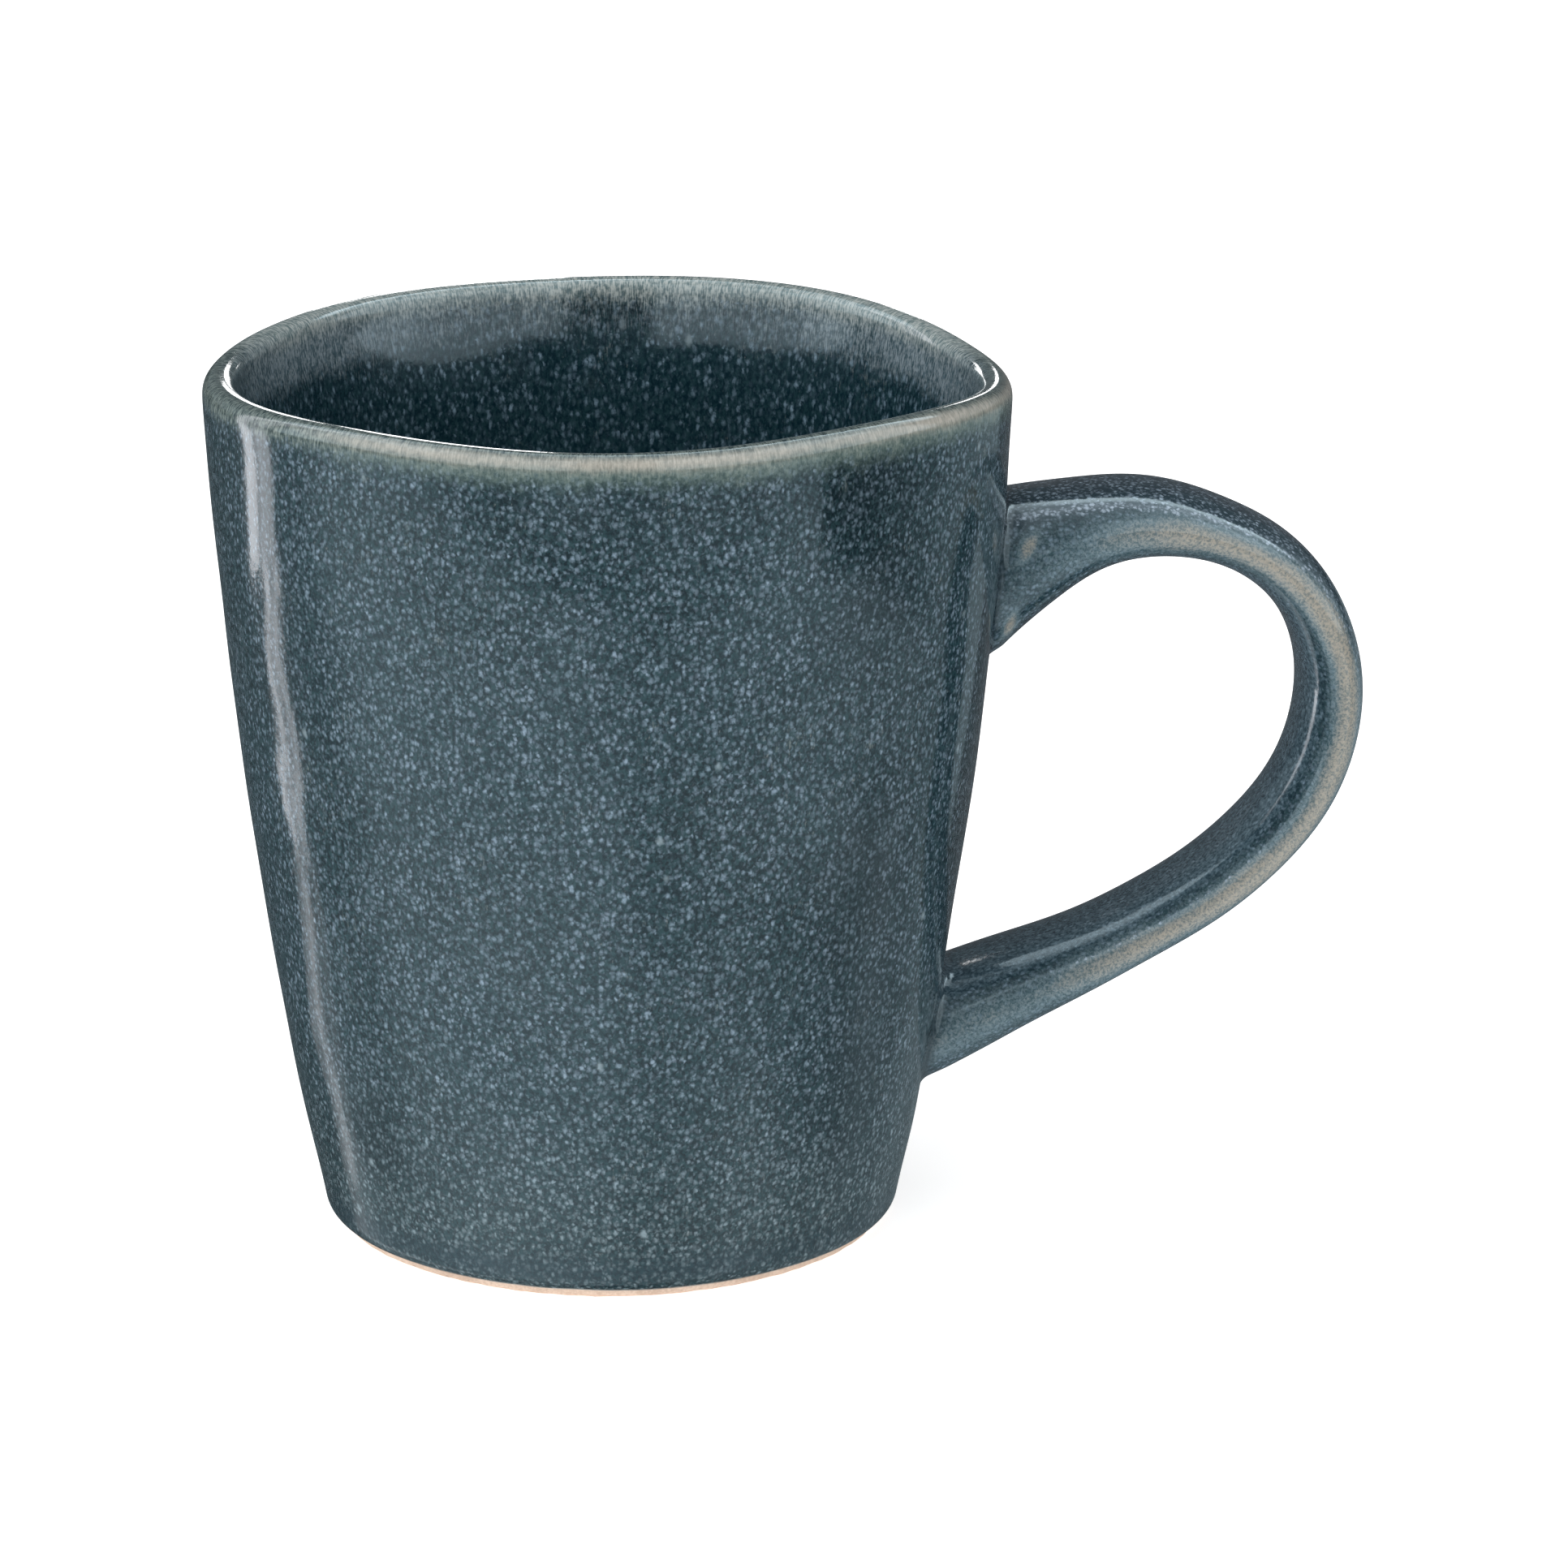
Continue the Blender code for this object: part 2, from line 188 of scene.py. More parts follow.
def thrown(r, angle, z, wob=1.0):
    """Points of the perfectly turned cup, moved to where the hands left them."""
    up = np.clip(z / CUP_HEIGHT, 0.0, 1.0)
    share = np.minimum(1.0, r / outer_radius(np.clip(z, 0.0, CUP_HEIGHT)))
    uneven = wob * (wobble(angle, z) + bumped(angle, z, TOUCHES))
    moved = r + share * (wall_shift(angle, z) + uneven)
    return np.stack([
        moved * np.cos(angle) + LEAN_X * up + AXIS[0],
        moved * np.sin(angle) + LEAN_Y * up + AXIS[1],
        z + up ** 3 * harmonics(LIP_WAVE, angle),
    ], axis=-1)


def outside_wall(p, wob=1.0):
    """How far points lie outside the finished outer wall, and their angle."""
    x, y, z = p[..., 0] - AXIS[0], p[..., 1] - AXIS[1], p[..., 2]
    z0 = z.copy()
    for _ in range(4):
        up = np.clip(z0 / CUP_HEIGHT, 0.0, 1.0)
        angle = np.arctan2(y - LEAN_Y * up, x - LEAN_X * up)
        z0 = z - up ** 3 * harmonics(LIP_WAVE, angle)
    radius = np.hypot(x - LEAN_X * up, y - LEAN_Y * up)
    uneven = wob * (wobble(angle, z0) + bumped(angle, z0, TOUCHES))
    return radius - outer_radius(z0) - wall_shift(angle, z0) - uneven, angle


def evened(points, rounds, first=0, last=None):
    """Softens a run of points between two rows, both ends kept."""
    points = points.copy()
    last = len(points) if last is None else last
    for _ in range(rounds):
        part = points[first:last]
        part[1:-1] = 0.25 * part[:-2] + 0.5 * part[1:-1] + 0.25 * part[2:]
    return points


def normals_of(points):
    """Unit normals to the left of a run of (r, z) points."""
    way = np.gradient(points, axis=0)
    way /= np.linalg.norm(way, axis=1)[:, None]
    return np.stack([-way[:, 1], way[:, 0]], axis=1)


def make_mesh(name, verts, faces, attributes=None):
    mesh = bpy.data.meshes.new(name)
    mesh.from_pydata([tuple(v) for v in verts], [], faces)
    mesh.update()
    for key, values in (attributes or {}).items():
        values = np.asarray(values, np.float32)
        if values.ndim == 1:
            layer = mesh.attributes.new(key, "FLOAT", "POINT")
            layer.data.foreach_set("value", values)
        else:
            layer = mesh.attributes.new(key, "FLOAT_VECTOR", "POINT")
            layer.data.foreach_set("vector", values.ravel())
    mesh.shade_smooth()
    obj = bpy.data.objects.new(name, mesh)
    bpy.context.scene.collection.objects.link(obj)
    return obj


def grid_faces(rows, cols, start=0, flip=False):
    """Quads of a grid of rows that each close on themselves."""
    faces = []
    for k in range(rows - 1):
        a, b = start + k * cols, start + (k + 1) * cols
        for i in range(cols):
            j = (i + 1) % cols
            quad = (a + i, a + j, b + j, b + i)
            faces.append(quad[::-1] if flip else quad)
    return faces


def ramp(x, low, high):
    t = np.clip((x - low) / (high - low), 0.0, 1.0)
    return t * t * (3.0 - 2.0 * t)


ANGLES = np.arange(AROUND) * (2.0 * math.pi / AROUND)

# ------------------------------------------------------------ strap and roots


def along(values, share):
    """Smooth value of a quantity given at the stations, as in the CAD."""
    share = np.clip(share, 0.0, 1.0)
    result = np.full(share.shape, values[-1], float)
    for i in reversed(range(len(STRAP_STATIONS) - 1)):
        part = (share - STRAP_STATIONS[i]) / (STRAP_STATIONS[i + 1] - STRAP_STATIONS[i])
        part = np.clip(part, 0.0, 1.0)
        part = part * part * (3.0 - 2.0 * part) * 0.5 + part * 0.5
        here = values[i] + (values[i + 1] - values[i]) * part
        result = np.where(share <= STRAP_STATIONS[i + 1], here, result)
    return result


def b_spline(share):
    """Points of the clamped cubic B-spline of the handle's centre line."""
    count, degree = len(HANDLE_PATH), 3
    spans = count - degree
    knots = [0.0] * degree + [i / spans for i in range(spans + 1)] + [1.0] * degree
    out = []
    for t in share:
        t = min(max(float(t), 0.0), 1.0 - 1e-9)
        span = degree + int(t * spans)
        pts = [np.array(HANDLE_PATH[span - degree + i]) for i in range(degree + 1)]
        for level in range(1, degree + 1):
            for i in range(degree, level - 1, -1):
                left = knots[span - degree + i]
                right = knots[span + 1 + i - level]
                mix = (t - left) / (right - left)
                pts[i] = pts[i - 1] * (1 - mix) + pts[i] * mix
        out.append(pts[degree])
    return np.array(out)


SHARES = np.linspace(0.0, 1.0, 801)
CENTRE = b_spline(SHARES)
WAY = np.gradient(CENTRE, axis=0)
WAY /= np.linalg.norm(WAY, axis=1)[:, None]
LENGTH = np.concatenate([[0.0], np.cumsum(np.linalg.norm(np.diff(CENTRE, axis=0), axis=1))])


def softly(values, width):
    """Gaussian smoothing of an evenly sampled run, its ends reflected."""
    reach = int(3 * width)
    kernel = np.exp(-0.5 * (np.arange(-reach, reach + 1) / width) ** 2)
    padded = np.concatenate([
        2 * values[0] - values[reach:0:-1], values, 2 * values[-1] - values[-2:-reach - 2:-1]
    ])
    return np.convolve(padded, kernel / kernel.sum(), mode="valid")


THICK = softly(along(STRAP_HALF_THICK, SHARES), 16)
WIDE = softly(along(STRAP_HALF_WIDE, SHARES), 16)


def strap_points(run, turn, grow=0.0):
    """Points of the strap's skin: run is the length along the centre line, which
    goes on straight past both ends, and turn the place round the section, where
    0 is the outer face and 90 degrees the far side."""
    total = LENGTH[-1]
    inside = np.clip(run, 0.0, total)
    past = run - inside
    cx, cz = np.interp(inside, LENGTH, CENTRE[:, 0]), np.interp(inside, LENGTH, CENTRE[:, 1])
    wx, wz = np.interp(inside, LENGTH, WAY[:, 0]), np.interp(inside, LENGTH, WAY[:, 1])
    size = np.hypot(wx, wz)
    wx, wz = wx / size, wz / size
    thick = np.interp(inside, LENGTH, THICK) + grow
    wide = np.interp(inside, LENGTH, WIDE) + grow
    c, s = np.cos(turn), np.sin(turn)
    c = np.sign(c) * np.abs(c) ** (2.0 / STRAP_SQUARENESS)
    s = np.sign(s) * np.abs(s) ** (2.0 / STRAP_SQUARENESS)
    ripple = 1.0 + 0.010 * np.sin(230.0 * inside + 2.0 * np.sin(turn)) + 0.008 * np.sin(
        410.0 * inside + 1.3 - 2.0 * np.cos(turn))
    thick, wide = thick * ripple, wide * (0.5 + 0.5 * ripple)
    return np.stack([
        cx + past * wx - thick * c * wz + AXIS[0],
        wide * s + AXIS[1] + 0.0 * run,
        cz + past * wz + thick * c * wx,
    ], axis=-1)


# Even steps round the section by length, not by angle, at a middle section.
fine = np.linspace(0.0, 2.0 * math.pi, 4001)
section = strap_points(np.full_like(fine, 0.5 * LENGTH[-1]), fine)
walked = np.concatenate([[0.0], np.cumsum(np.linalg.norm(np.diff(section, axis=0), axis=1))])
TURNS = np.interp(np.arange(STRAP_AROUND) / STRAP_AROUND * walked[-1], walked, fine)
ROUND_SHARE = np.arange(STRAP_AROUND) / STRAP_AROUND


def crossing(end, grow=0.0, out=0.0):
    """For each line along the strap, the run at which it leaves the cup's wall."""
    total = LENGTH[-1]
    if end == 0:
        low, high = np.full(STRAP_AROUND, -ROOT_RUN_IN), np.full(STRAP_AROUND, 0.35 * total)
    else:
        low, high = np.full(STRAP_AROUND, total + ROOT_RUN_IN), np.full(STRAP_AROUND, 0.65 * total)
    for _ in range(40):
        middle = 0.5 * (low + high)
        gap = outside_wall(strap_points(middle, TURNS, grow))[0] - out
        low, high = np.where(gap < 0, middle, low), np.where(gap < 0, high, middle)
    return 0.5 * (low + high)


def onto_wall(points, out):
    """The points moved square to the cup's axis until they are out from its wall."""
    points = points.copy()
    for _ in range(3):
        gap, angle = outside_wall(points)
        move = out - gap
        points[..., 0] += move * np.cos(angle)
        points[..., 1] += move * np.sin(angle)
    return points


def root_rows(end, fillet, rows):
    """Rows of points from the strap's skin, at fillet from the crease, over the
    crease and down onto the wall."""
    sign = 1.0 if end == 0 else -1.0
    at = crossing(end)
    crease = strap_points(at, TURNS)
    start_run = at + sign * fillet
    start = strap_points(start_run, TURNS)
    middle = crease.mean(axis=0)
    ahead = crease - middle
    gap, angle = outside_wall(crease)
    normal = np.stack([np.cos(angle), np.sin(angle), 0 * angle], axis=-1)
    ahead -= (ahead * normal).sum(-1)[:, None] * normal
    ahead /= np.linalg.norm(ahead, axis=1)[:, None]
    finish = onto_wall(crease + 0.85 * fillet[:, None] * ahead, -0.00003)
    result = []
    for k in range(rows + 1):
        t = k / rows
        result.append((1 - t) ** 2 * start + 2 * t * (1 - t) * crease + t * t * finish)
    return start_run, crease, result


def strap_fillet(end):
    """Fillet size round the root: larger under the upper root and on top of the
    lower one."""
    c = np.cos(TURNS)
    if end == 0:
        return 0.0011 + 0.0007 * np.clip(-c, 0, 1) ** 2
    return 0.0011 + 0.0016 * np.clip(-c, 0, 1) ** 2


FILLET_ROWS = 12
upper_run, UPPER_CREASE, upper_rows = root_rows(0, strap_fillet(0), FILLET_ROWS)
lower_run, LOWER_CREASE, lower_rows = root_rows(1, strap_fillet(1), FILLET_ROWS)


def near_crease(points):
    """Distance of points to the two creases round the handle's roots."""
    points = points.reshape(-1, 3)
    best = np.full(len(points), 1.0)
    loops = []
    for loop in (UPPER_CREASE, LOWER_CREASE):
        loops.append(0.5 * (loop + np.roll(loop, 1, axis=0)))
        loops.append(loop)
    loops = np.concatenate(loops)
    close = np.flatnonzero(points[:, 0] > AXIS[0] + 0.020)
    for part in np.array_split(close, max(1, len(close) // 4000)):
        gap = np.linalg.norm(points[part][:, None, :] - loops[None], axis=2)
        best[part] = gap.min(axis=1)
    return best


# ----------------------------------------------------------- the cup's pieces


def inside_profile():
    """(r, z) up the inside: middle of the floor, corner, wall."""
    corner_z = FLOOR_TOP + FLOOR_CORNER
    wall_r = float(inner_radius(corner_z))
    flat = wall_r - FLOOR_CORNER
    points = [(flat * (i / 22) ** 0.9, FLOOR_TOP - 0.0006 * (1 - (i / 22) ** 2)) for i in range(1, 23)]
    for i in range(1, 25):
        turn = 0.5 * math.pi * i / 24
        points.append((
            wall_r - FLOOR_CORNER * (1 - math.sin(turn)),
            corner_z - FLOOR_CORNER * math.cos(turn),
        ))
    top = CUP_HEIGHT - LIP_TURN
    for i in range(1, 75):
        z = corner_z + (top - corner_z) * i / 74
        points.append((float(inner_radius(z)), z))
    return np.array(points)


def lip_profile(rows=34):
    """Over the lip: a tight turn at the inner edge, then a nearly level land that
    falls a little inwards, then a fuller turn down to the outside."""
    z0 = CUP_HEIGHT - LIP_TURN
    inner, outer = float(inner_radius(z0)), float(outer_radius(z0))
    crest = inner + 0.60 * (outer - inner)
    points = []
    for u in np.linspace(-1.0, 1.0, 161):
        if u < 0:
            r = crest + u * (crest - inner)
            z = z0 + LIP_TURN * (1 - (-u) ** 4.2) ** (1 / 2.6) - 0.00017 * (-u) * (1 + u) * 2.2
        else:
            r = crest + u * (outer - crest)
            z = z0 + LIP_TURN * math.sqrt(max(0.0, 1 - u ** 2.1))
        points.append((r, z))
    points = np.array(points)
    length = np.concatenate([[0.0], np.cumsum(np.linalg.norm(np.diff(points, axis=0), axis=1))])
    at = length[-1] * np.arange(1, rows) / rows
    return np.stack([np.interp(at, length, points[:, 0]), np.interp(at, length, points[:, 1])], axis=1)


def outside_profile(wall_rows=96, hip_rows=20):
    start = CUP_HEIGHT - LIP_TURN
    heights = list(np.linspace(start, HIP_HEIGHT, wall_rows))
    last = math.asin(1.0 - FOOT_GLAZE_LINE / HIP_HEIGHT)
    heights += [HIP_HEIGHT * (1 - math.sin(last * i / hip_rows)) for i in range(1, hip_rows + 1)]
    z = np.array(heights)
    return np.stack([outer_radius(z), z], axis=1)


inside, lip, outside = inside_profile(), lip_profile(), outside_profile()
face = np.concatenate([inside, lip, outside])
first_lip, last_lip = len(inside), len(inside) + len(lip)
face = evened(face, 8, 14, last_lip + 14)
out_normal = normals_of(face)                # points out of the glaze

steps = np.concatenate([[0.0], np.cumsum(np.linalg.norm(np.diff(face, axis=0), axis=1))])
top_row = int(np.argmax(face[:, 1]))
from_top = steps - steps[top_row]            # + down the outside, - down the inside

# The glaze's edge above the foot wanders a little up and down, and is rolled.
edge_wander = 0.00016 * (
    np.sin(3 * ANGLES + 0.6) + 0.7 * np.sin(7 * ANGLES + 2.0) + 0.45 * np.sin(17 * ANGLES)
    + 0.3 * np.sin(31 * ANGLES + 1.0)
)


def coat_rows(profile, depth):
    """Rows of thrown points of the glaze, depth under its face."""
    rows = []
    for (r, z), (nr, nz) in zip(profile, out_normal):
        lift = edge_wander * math.exp(-max(0.0, z - FOOT_GLAZE_LINE) / 0.0009) * (r > 0.027)
        zz = z + lift
        rr = np.where(lift != 0.0, outer_radius(zz) if z < HIP_HEIGHT and r > 0.027 else r, r)
        rows.append(thrown(rr - depth * nr, ANGLES, zz - depth * nz))
    return rows


face_rows = coat_rows(face, 0.0)
keep = list(range(0, len(face), 4))
if keep[-1] != len(face) - 1:
    keep.append(len(face) - 1)
back_rows = [
    thrown(face[k, 0] - GLAZE * out_normal[k, 0], ANGLES, face[k, 1] - GLAZE * out_normal[k, 1])
    for k in keep[:-1]
]
back_rows.append(coat_rows(face, GLAZE)[-1])
# rolled edge: half round between the face's last row and the back's last row
a_row, b_row = face_rows[-1], back_rows[-1]
down = face_rows[-1] - face_rows[-2]
down /= np.linalg.norm(down, axis=1)[:, None]
edge_rows = []
for k in range(1, 8):
    turn = math.pi * k / 8
    middle, half = 0.5 * (a_row + b_row), 0.5 * (a_row - b_row)
    edge_rows.append(middle + half * math.cos(turn) + down * (0.5 * GLAZE * math.sin(turn)))

face_pole = thrown(np.array([0.0]), np.array([0.0]), np.array([FLOOR_TOP - 0.0006]))
back_pole = thrown(np.array([0.0]), np.array([0.0]), np.array([FLOOR_TOP - 0.0006 - GLAZE]))

rows = face_rows + edge_rows + back_rows[::-1]
verts = np.concatenate([np.concatenate(rows), face_pole, back_pole])
faces = grid_faces(len(rows), AROUND)
pole = len(rows) * AROUND
last = (len(rows) - 1) * AROUND
for i in range(AROUND):
    j = (i + 1) % AROUND
    faces.append((pole, j, i))
    faces.append((pole + 1, last + i, last + j))

count = len(rows)
run = np.concatenate([from_top, np.full(7, from_top[-1]), from_top[keep][::-1]])
RUN = np.repeat(run, AROUND)
ANG = np.tile(ANGLES, count)
flow = np.stack([
    RIM_RADIUS * np.cos(ANG), RIM_RADIUS * np.sin(ANG), RUN
], axis=1)

# Where the glaze is thin: over the lip's turn, more on the side that faces the
# handle's right and the front, and hardly on the left.
turn_deg = np.degrees((ANG + math.pi) % (2 * math.pi) - math.pi)
favour = 0.16 + 0.84 * (
    ramp(turn_deg, -160, -112) * (1 - ramp(turn_deg, -5, 35))
) + 0.10 * ramp(turn_deg, 60, 100) * (1 - ramp(turn_deg, 140, 170))
cream = (0.72 * np.exp(-((RUN - 0.0016) / 0.0008) ** 2)
         + 0.36 * np.exp(-((RUN - 0.0018) / 0.0017) ** 2)) * favour
cream *= 0.82 + 0.16 * np.sin(5 * ANG + 0.9) * np.sin(3 * ANG + 2.0)
halo = np.exp(-((RUN - 0.0026) / 0.0020) ** 2) * favour
pale = np.exp(-(np.maximum(0, np.abs(RUN - 0.0010) - 0.0010) / 0.0014) ** 2)
pale = np.maximum(pale, 0.70 * np.exp(-((RUN + 0.0010) / 0.0036) ** 2))
inner = 0.75 * ramp(-RUN, 0.0030, 0.0095) + 0.25 * ramp(-RUN, 0.0080, 0.0300)
# just inside the lip the crystals are drawn out like hair, most at the sides
hair = np.exp(-(np.maximum(0, np.abs(RUN + 0.0040) - 0.0014) / 0.0026) ** 2)
side_of = np.abs(turn_deg - 83.0)
hair *= (0.42 + 0.58 * ramp(side_of, 20, 58)) * (1 - 0.55 * ramp(side_of, 66, 96))
# at the back, over the inner edge of the lip, a whitish painted reflection is laid into the colour
back_lip_painted_reflection = np.exp(-(np.maximum(0, -RUN - 0.0016) / 0.0020) ** 2) * np.exp(
    -(np.maximum(0, RUN - 0.0002) / 0.0008) ** 2) * (1 - ramp(side_of, 60, 92))
edge_gap = from_top[-1] - RUN
foot_edge = np.exp(-(edge_gap / 0.00050) ** 2)
foot_pool = np.exp(-((edge_gap - 0.0038) / 0.0017) ** 2) * (
    0.80 + 0.20 * np.sin(3 * ANG + 1.0) * np.sin(5 * ANG))
# patches where the crystals are fewer and the ground darker: the upright bands near -50 and
# -147 degrees and the band under the lip near -97 degrees are painted shade, dark reflection
# bands laid into the colour; those near 40, 118 and 160 degrees are patches of fewer crystals
height = verts[:pole, 2]


def patch(angle, z, wide, high):
    away = (turn_deg - angle + 180.0) % 360.0 - 180.0
    return np.exp(-(away / wide) ** 2 - ((height - z) / high) ** 2)


sparse_crystals_and_painted_shade = (patch(-57, 0.0915, 9, 0.0090) + 0.85 * patch(-54, 0.0760, 9, 0.0070)
       + 1.20 * patch(-53, 0.0460, 8, 0.0100) + 1.15 * patch(-48, 0.0240, 8, 0.0130)
       + 0.85 * patch(-143, 0.0160, 8, 0.0055) + 0.45 * patch(-150, 0.0720, 9, 0.0140)
       + 0.50 * patch(-97, 0.0900, 34, 0.0028)
       + 0.80 * patch(40, 0.0500, 12, 0.0140) + 0.70 * patch(118, 0.0300, 14, 0.0100)
       + 0.60 * patch(160, 0.0780, 10, 0.0080)) * (RUN > 0)
foot_low = np.exp(-(np.maximum(0, edge_gap) / 0.020) ** 2)
crease_cup = np.exp(-(near_crease(verts[:pole]) / 0.0009) ** 2) * (RUN > 0.004)


def with_poles(values, a, b):
    return np.concatenate([values, [a], [b]])


glazed_cup = make_mesh("glazed_cup", verts, faces, {
    "flow": np.concatenate([flow, [[0, 0, run[0]]], [[0, 0, run[0]]]]),
    "cream": with_poles(cream, 0, 0),
    "halo": with_poles(halo, 0, 0),
    "hair": with_poles(hair, 0, 0),
    "low": with_poles(foot_low, 0, 0),
    "sparse_crystals_and_painted_shade": with_poles(sparse_crystals_and_painted_shade, 0, 0),
    "back_lip_painted_reflection": with_poles(back_lip_painted_reflection, 0, 0),
    "pale": with_poles(pale, 0, 0),
    "inner": with_poles(inner, 1, 1),
    "foot_edge": with_poles(foot_edge, 0, 0),
    "pool": with_poles(foot_pool, 0, 0),
    "crease": with_poles(crease_cup, 0, 0),
})

# The clay under it, with the bare foot ring finely made.
under = evened(face, 4, 14, last_lip + 14) - (CLAY - 0.00002) * out_normal
under = under[list(range(0, len(face) - 24, 5)) + list(range(len(face) - 22, len(face) - 2, 2))]
foot_r = under[-1, 0]
foot_line = [
    (foot_r - 0.00000, under[-1, 1] - 0.00022), (foot_r - 0.00012, 0.00052),
    (foot_r - 0.00030, 0.00032), (foot_r - 0.00052, 0.00016), (foot_r - 0.00078, 0.00005),
    (foot_r - 0.00110, 0.0),
]
for i in range(1, 15):
    foot_line.append((foot_line[5][0] + (FOOT_INNER_RADIUS + 0.0003 - foot_line[5][0]) * i / 14, 0.0))
foot_line += [
    (FOOT_INNER_RADIUS + 0.00008, 0.00006), (FOOT_INNER_RADIUS - 0.00008, 0.00022),
    (FOOT_INNER_RADIUS - 0.00030, 0.00090), (FOOT_INNER_RADIUS - 0.00055, 0.00160),
    (FOOT_INNER_RADIUS - 0.00085, 0.00188), (FOOT_INNER_RADIUS - 0.00130, FOOT_RECESS),
]
for i in range(1, 12):
    foot_line.append(((FOOT_INNER_RADIUS - 0.0013) * (1 - i / 12), FOOT_RECESS))
clay_profile = np.concatenate([under, np.array(foot_line)])
clay_rows = []
for r, z in clay_profile:
    rough = 0.0
    if z < 0.0030 and r > 0.001:
        rough = 0.00003 * np.sin(23 * ANGLES + 9 * r * 1000) + 0.00002 * np.sin(61 * ANGLES + 3)
    clay_rows.append(thrown(np.full(AROUND, r), ANGLES, np.full(AROUND, z)))
    if not np.isscalar(rough) and z > 0.0:
        clay_rows[-1][:, 2] += rough
clay_verts = np.concatenate(clay_rows)
pole_a = thrown(np.array([0.0]), np.array([0.0]), np.array([FLOOR_TOP - 0.0006 - CLAY]))
pole_b = thrown(np.array([0.0]), np.array([0.0]), np.array([FOOT_RECESS]))
clay_faces = grid_faces(len(clay_rows), AROUND)
pole = len(clay_rows) * AROUND
last = (len(clay_rows) - 1) * AROUND
for i in range(AROUND):
    j = (i + 1) % AROUND
    clay_faces.append((pole, j, i))
    clay_faces.append((pole + 1, last + i, last + j))
clay_cup = make_mesh(
    "thrown_clay_cup", np.concatenate([clay_verts, pole_a, pole_b]), clay_faces)

# Island of glaze in the recess of the foot: a shallow pool with a rolled edge.
top_z, low_z = FOOT_RECESS - 0.00010, FOOT_RECESS - 0.00010 - GLAZE
island = [(FOOT_GLAZE_RADIUS * i / 14, top_z) for i in range(1, 15)]
for k in range(1, 8):
    turn = math.pi * k / 8
    island.append((FOOT_GLAZE_RADIUS + 0.00030 * math.sin(turn),
                   0.5 * (top_z + low_z) + 0.5 * GLAZE * math.cos(turn)))
island += [(FOOT_GLAZE_RADIUS * (1 - i / 40), low_z) for i in range(0, 40)]
island_rows = []
shore = 1.0 + 0.010 * np.sin(3 * ANGLES + 1) + 0.006 * np.sin(8 * ANGLES) + 0.003 * np.sin(19 * ANGLES)
for r, z in island:
    reach = ramp(np.array(r), 0.5 * FOOT_GLAZE_RADIUS, FOOT_GLAZE_RADIUS)
    radius = r * (1 + (shore - 1.02) * reach)
    wave = 0.0 if z >= top_z else 0.00005 * (
        np.sin(300 * r + 2 * ANGLES) * np.sin(2 * ANGLES + 1)) * min(1.0, r / 0.006)
    island_rows.append(np.stack([
        radius * np.cos(ANGLES) + AXIS[0], radius * np.sin(ANGLES) + AXIS[1],
        np.full(AROUND, z) + wave], axis=-1))
island_verts = np.concatenate(
    island_rows + [np.array([[AXIS[0], AXIS[1], top_z]]), np.array([[AXIS[0], AXIS[1], low_z]])])
island_faces = grid_faces(len(island_rows), AROUND, flip=True)
pole = len(island_rows) * AROUND
last = (len(island_rows) - 1) * AROUND
for i in range(AROUND):
    j = (i + 1) % AROUND
    island_faces.append((pole, i, j))
    island_faces.append((pole + 1, last + j, last + i))
foot_island = make_mesh("foot_glaze_island", island_verts, island_faces)

# ---------------------------------------------------------------- the strap
STRAP_ROWS = 230
strap_rows = [np.asarray(row) for row in upper_rows[::-1]]        # wall to strap
runs = [upper_run] * len(strap_rows)
for k in range(1, STRAP_ROWS):
    v = k / STRAP_ROWS
    here = upper_run + (lower_run - upper_run) * v
    strap_rows.append(strap_points(here, TURNS))
    runs.append(here)
strap_rows += [np.asarray(row) for row in lower_rows]
runs += [lower_run] * len(lower_rows)

# inner side of the coat, over the clay
back = []
inner_upper, inner_lower = crossing(0, -GLAZE, -0.0002), crossing(1, -GLAZE, -0.0002)
for k in range(0, 61):
    v = k / 60
    back.append(strap_points(inner_upper + (inner_lower - inner_upper) * v, TURNS, -GLAZE))
all_rows = strap_rows + back[::-1]
strap_verts = np.concatenate(all_rows)
strap_faces = grid_faces(len(all_rows), STRAP_AROUND)
first_row, last_row = 0, (len(all_rows) - 1) * STRAP_AROUND
for i in range(STRAP_AROUND):
    j = (i + 1) % STRAP_AROUND
    strap_faces.append((last_row + i, last_row + j, j, i))

n_rows = len(all_rows)
turn_all = np.tile(TURNS, n_rows)
run_all = np.concatenate([np.array(r) for r in runs] + [
    inner_upper + (inner_lower - inner_upper) * (1 - k / 60) for k in range(61)])
rho = 0.0050
flow_strap = np.stack([
    rho * np.cos(2 * math.pi * np.tile(ROUND_SHARE, n_rows)),
    rho * np.sin(2 * math.pi * np.tile(ROUND_SHARE, n_rows)), run_all], axis=1)
# thin glaze on the two rounded edges, where the section turns quickest
share_run = np.clip(run_all / LENGTH[-1], 0, 1)
side = np.degrees((turn_all + math.pi) % (2 * math.pi) - math.pi)
centre_of_edge = 91.0 - 13.0 * ramp(share_run, 0.28, 0.45) * (1 - ramp(share_run, 0.58, 0.80))
breadth = 33.0 + 3.0 * np.sin(40 * share_run) + 2.0 * np.sin(97 * share_run + 1)
thin = 0.92 * np.exp(-((np.abs(side) - centre_of_edge) / breadth) ** 2)
thin *= 0.30 + 0.70 * ramp(share_run, 0.06, 0.24)
thin *= 1 - 0.50 * ramp(share_run, 0.74, 0.95)
root_gap = np.abs(run_all - np.tile(upper_run, n_rows))
thin = np.maximum(thin, 0.85 * np.exp(-((root_gap - 0.0020) / 0.0014) ** 2)
                  * (np.exp(-((np.abs(side) - 72) / 14) ** 2) + np.exp(-((np.abs(side) - 128) / 16) ** 2)))
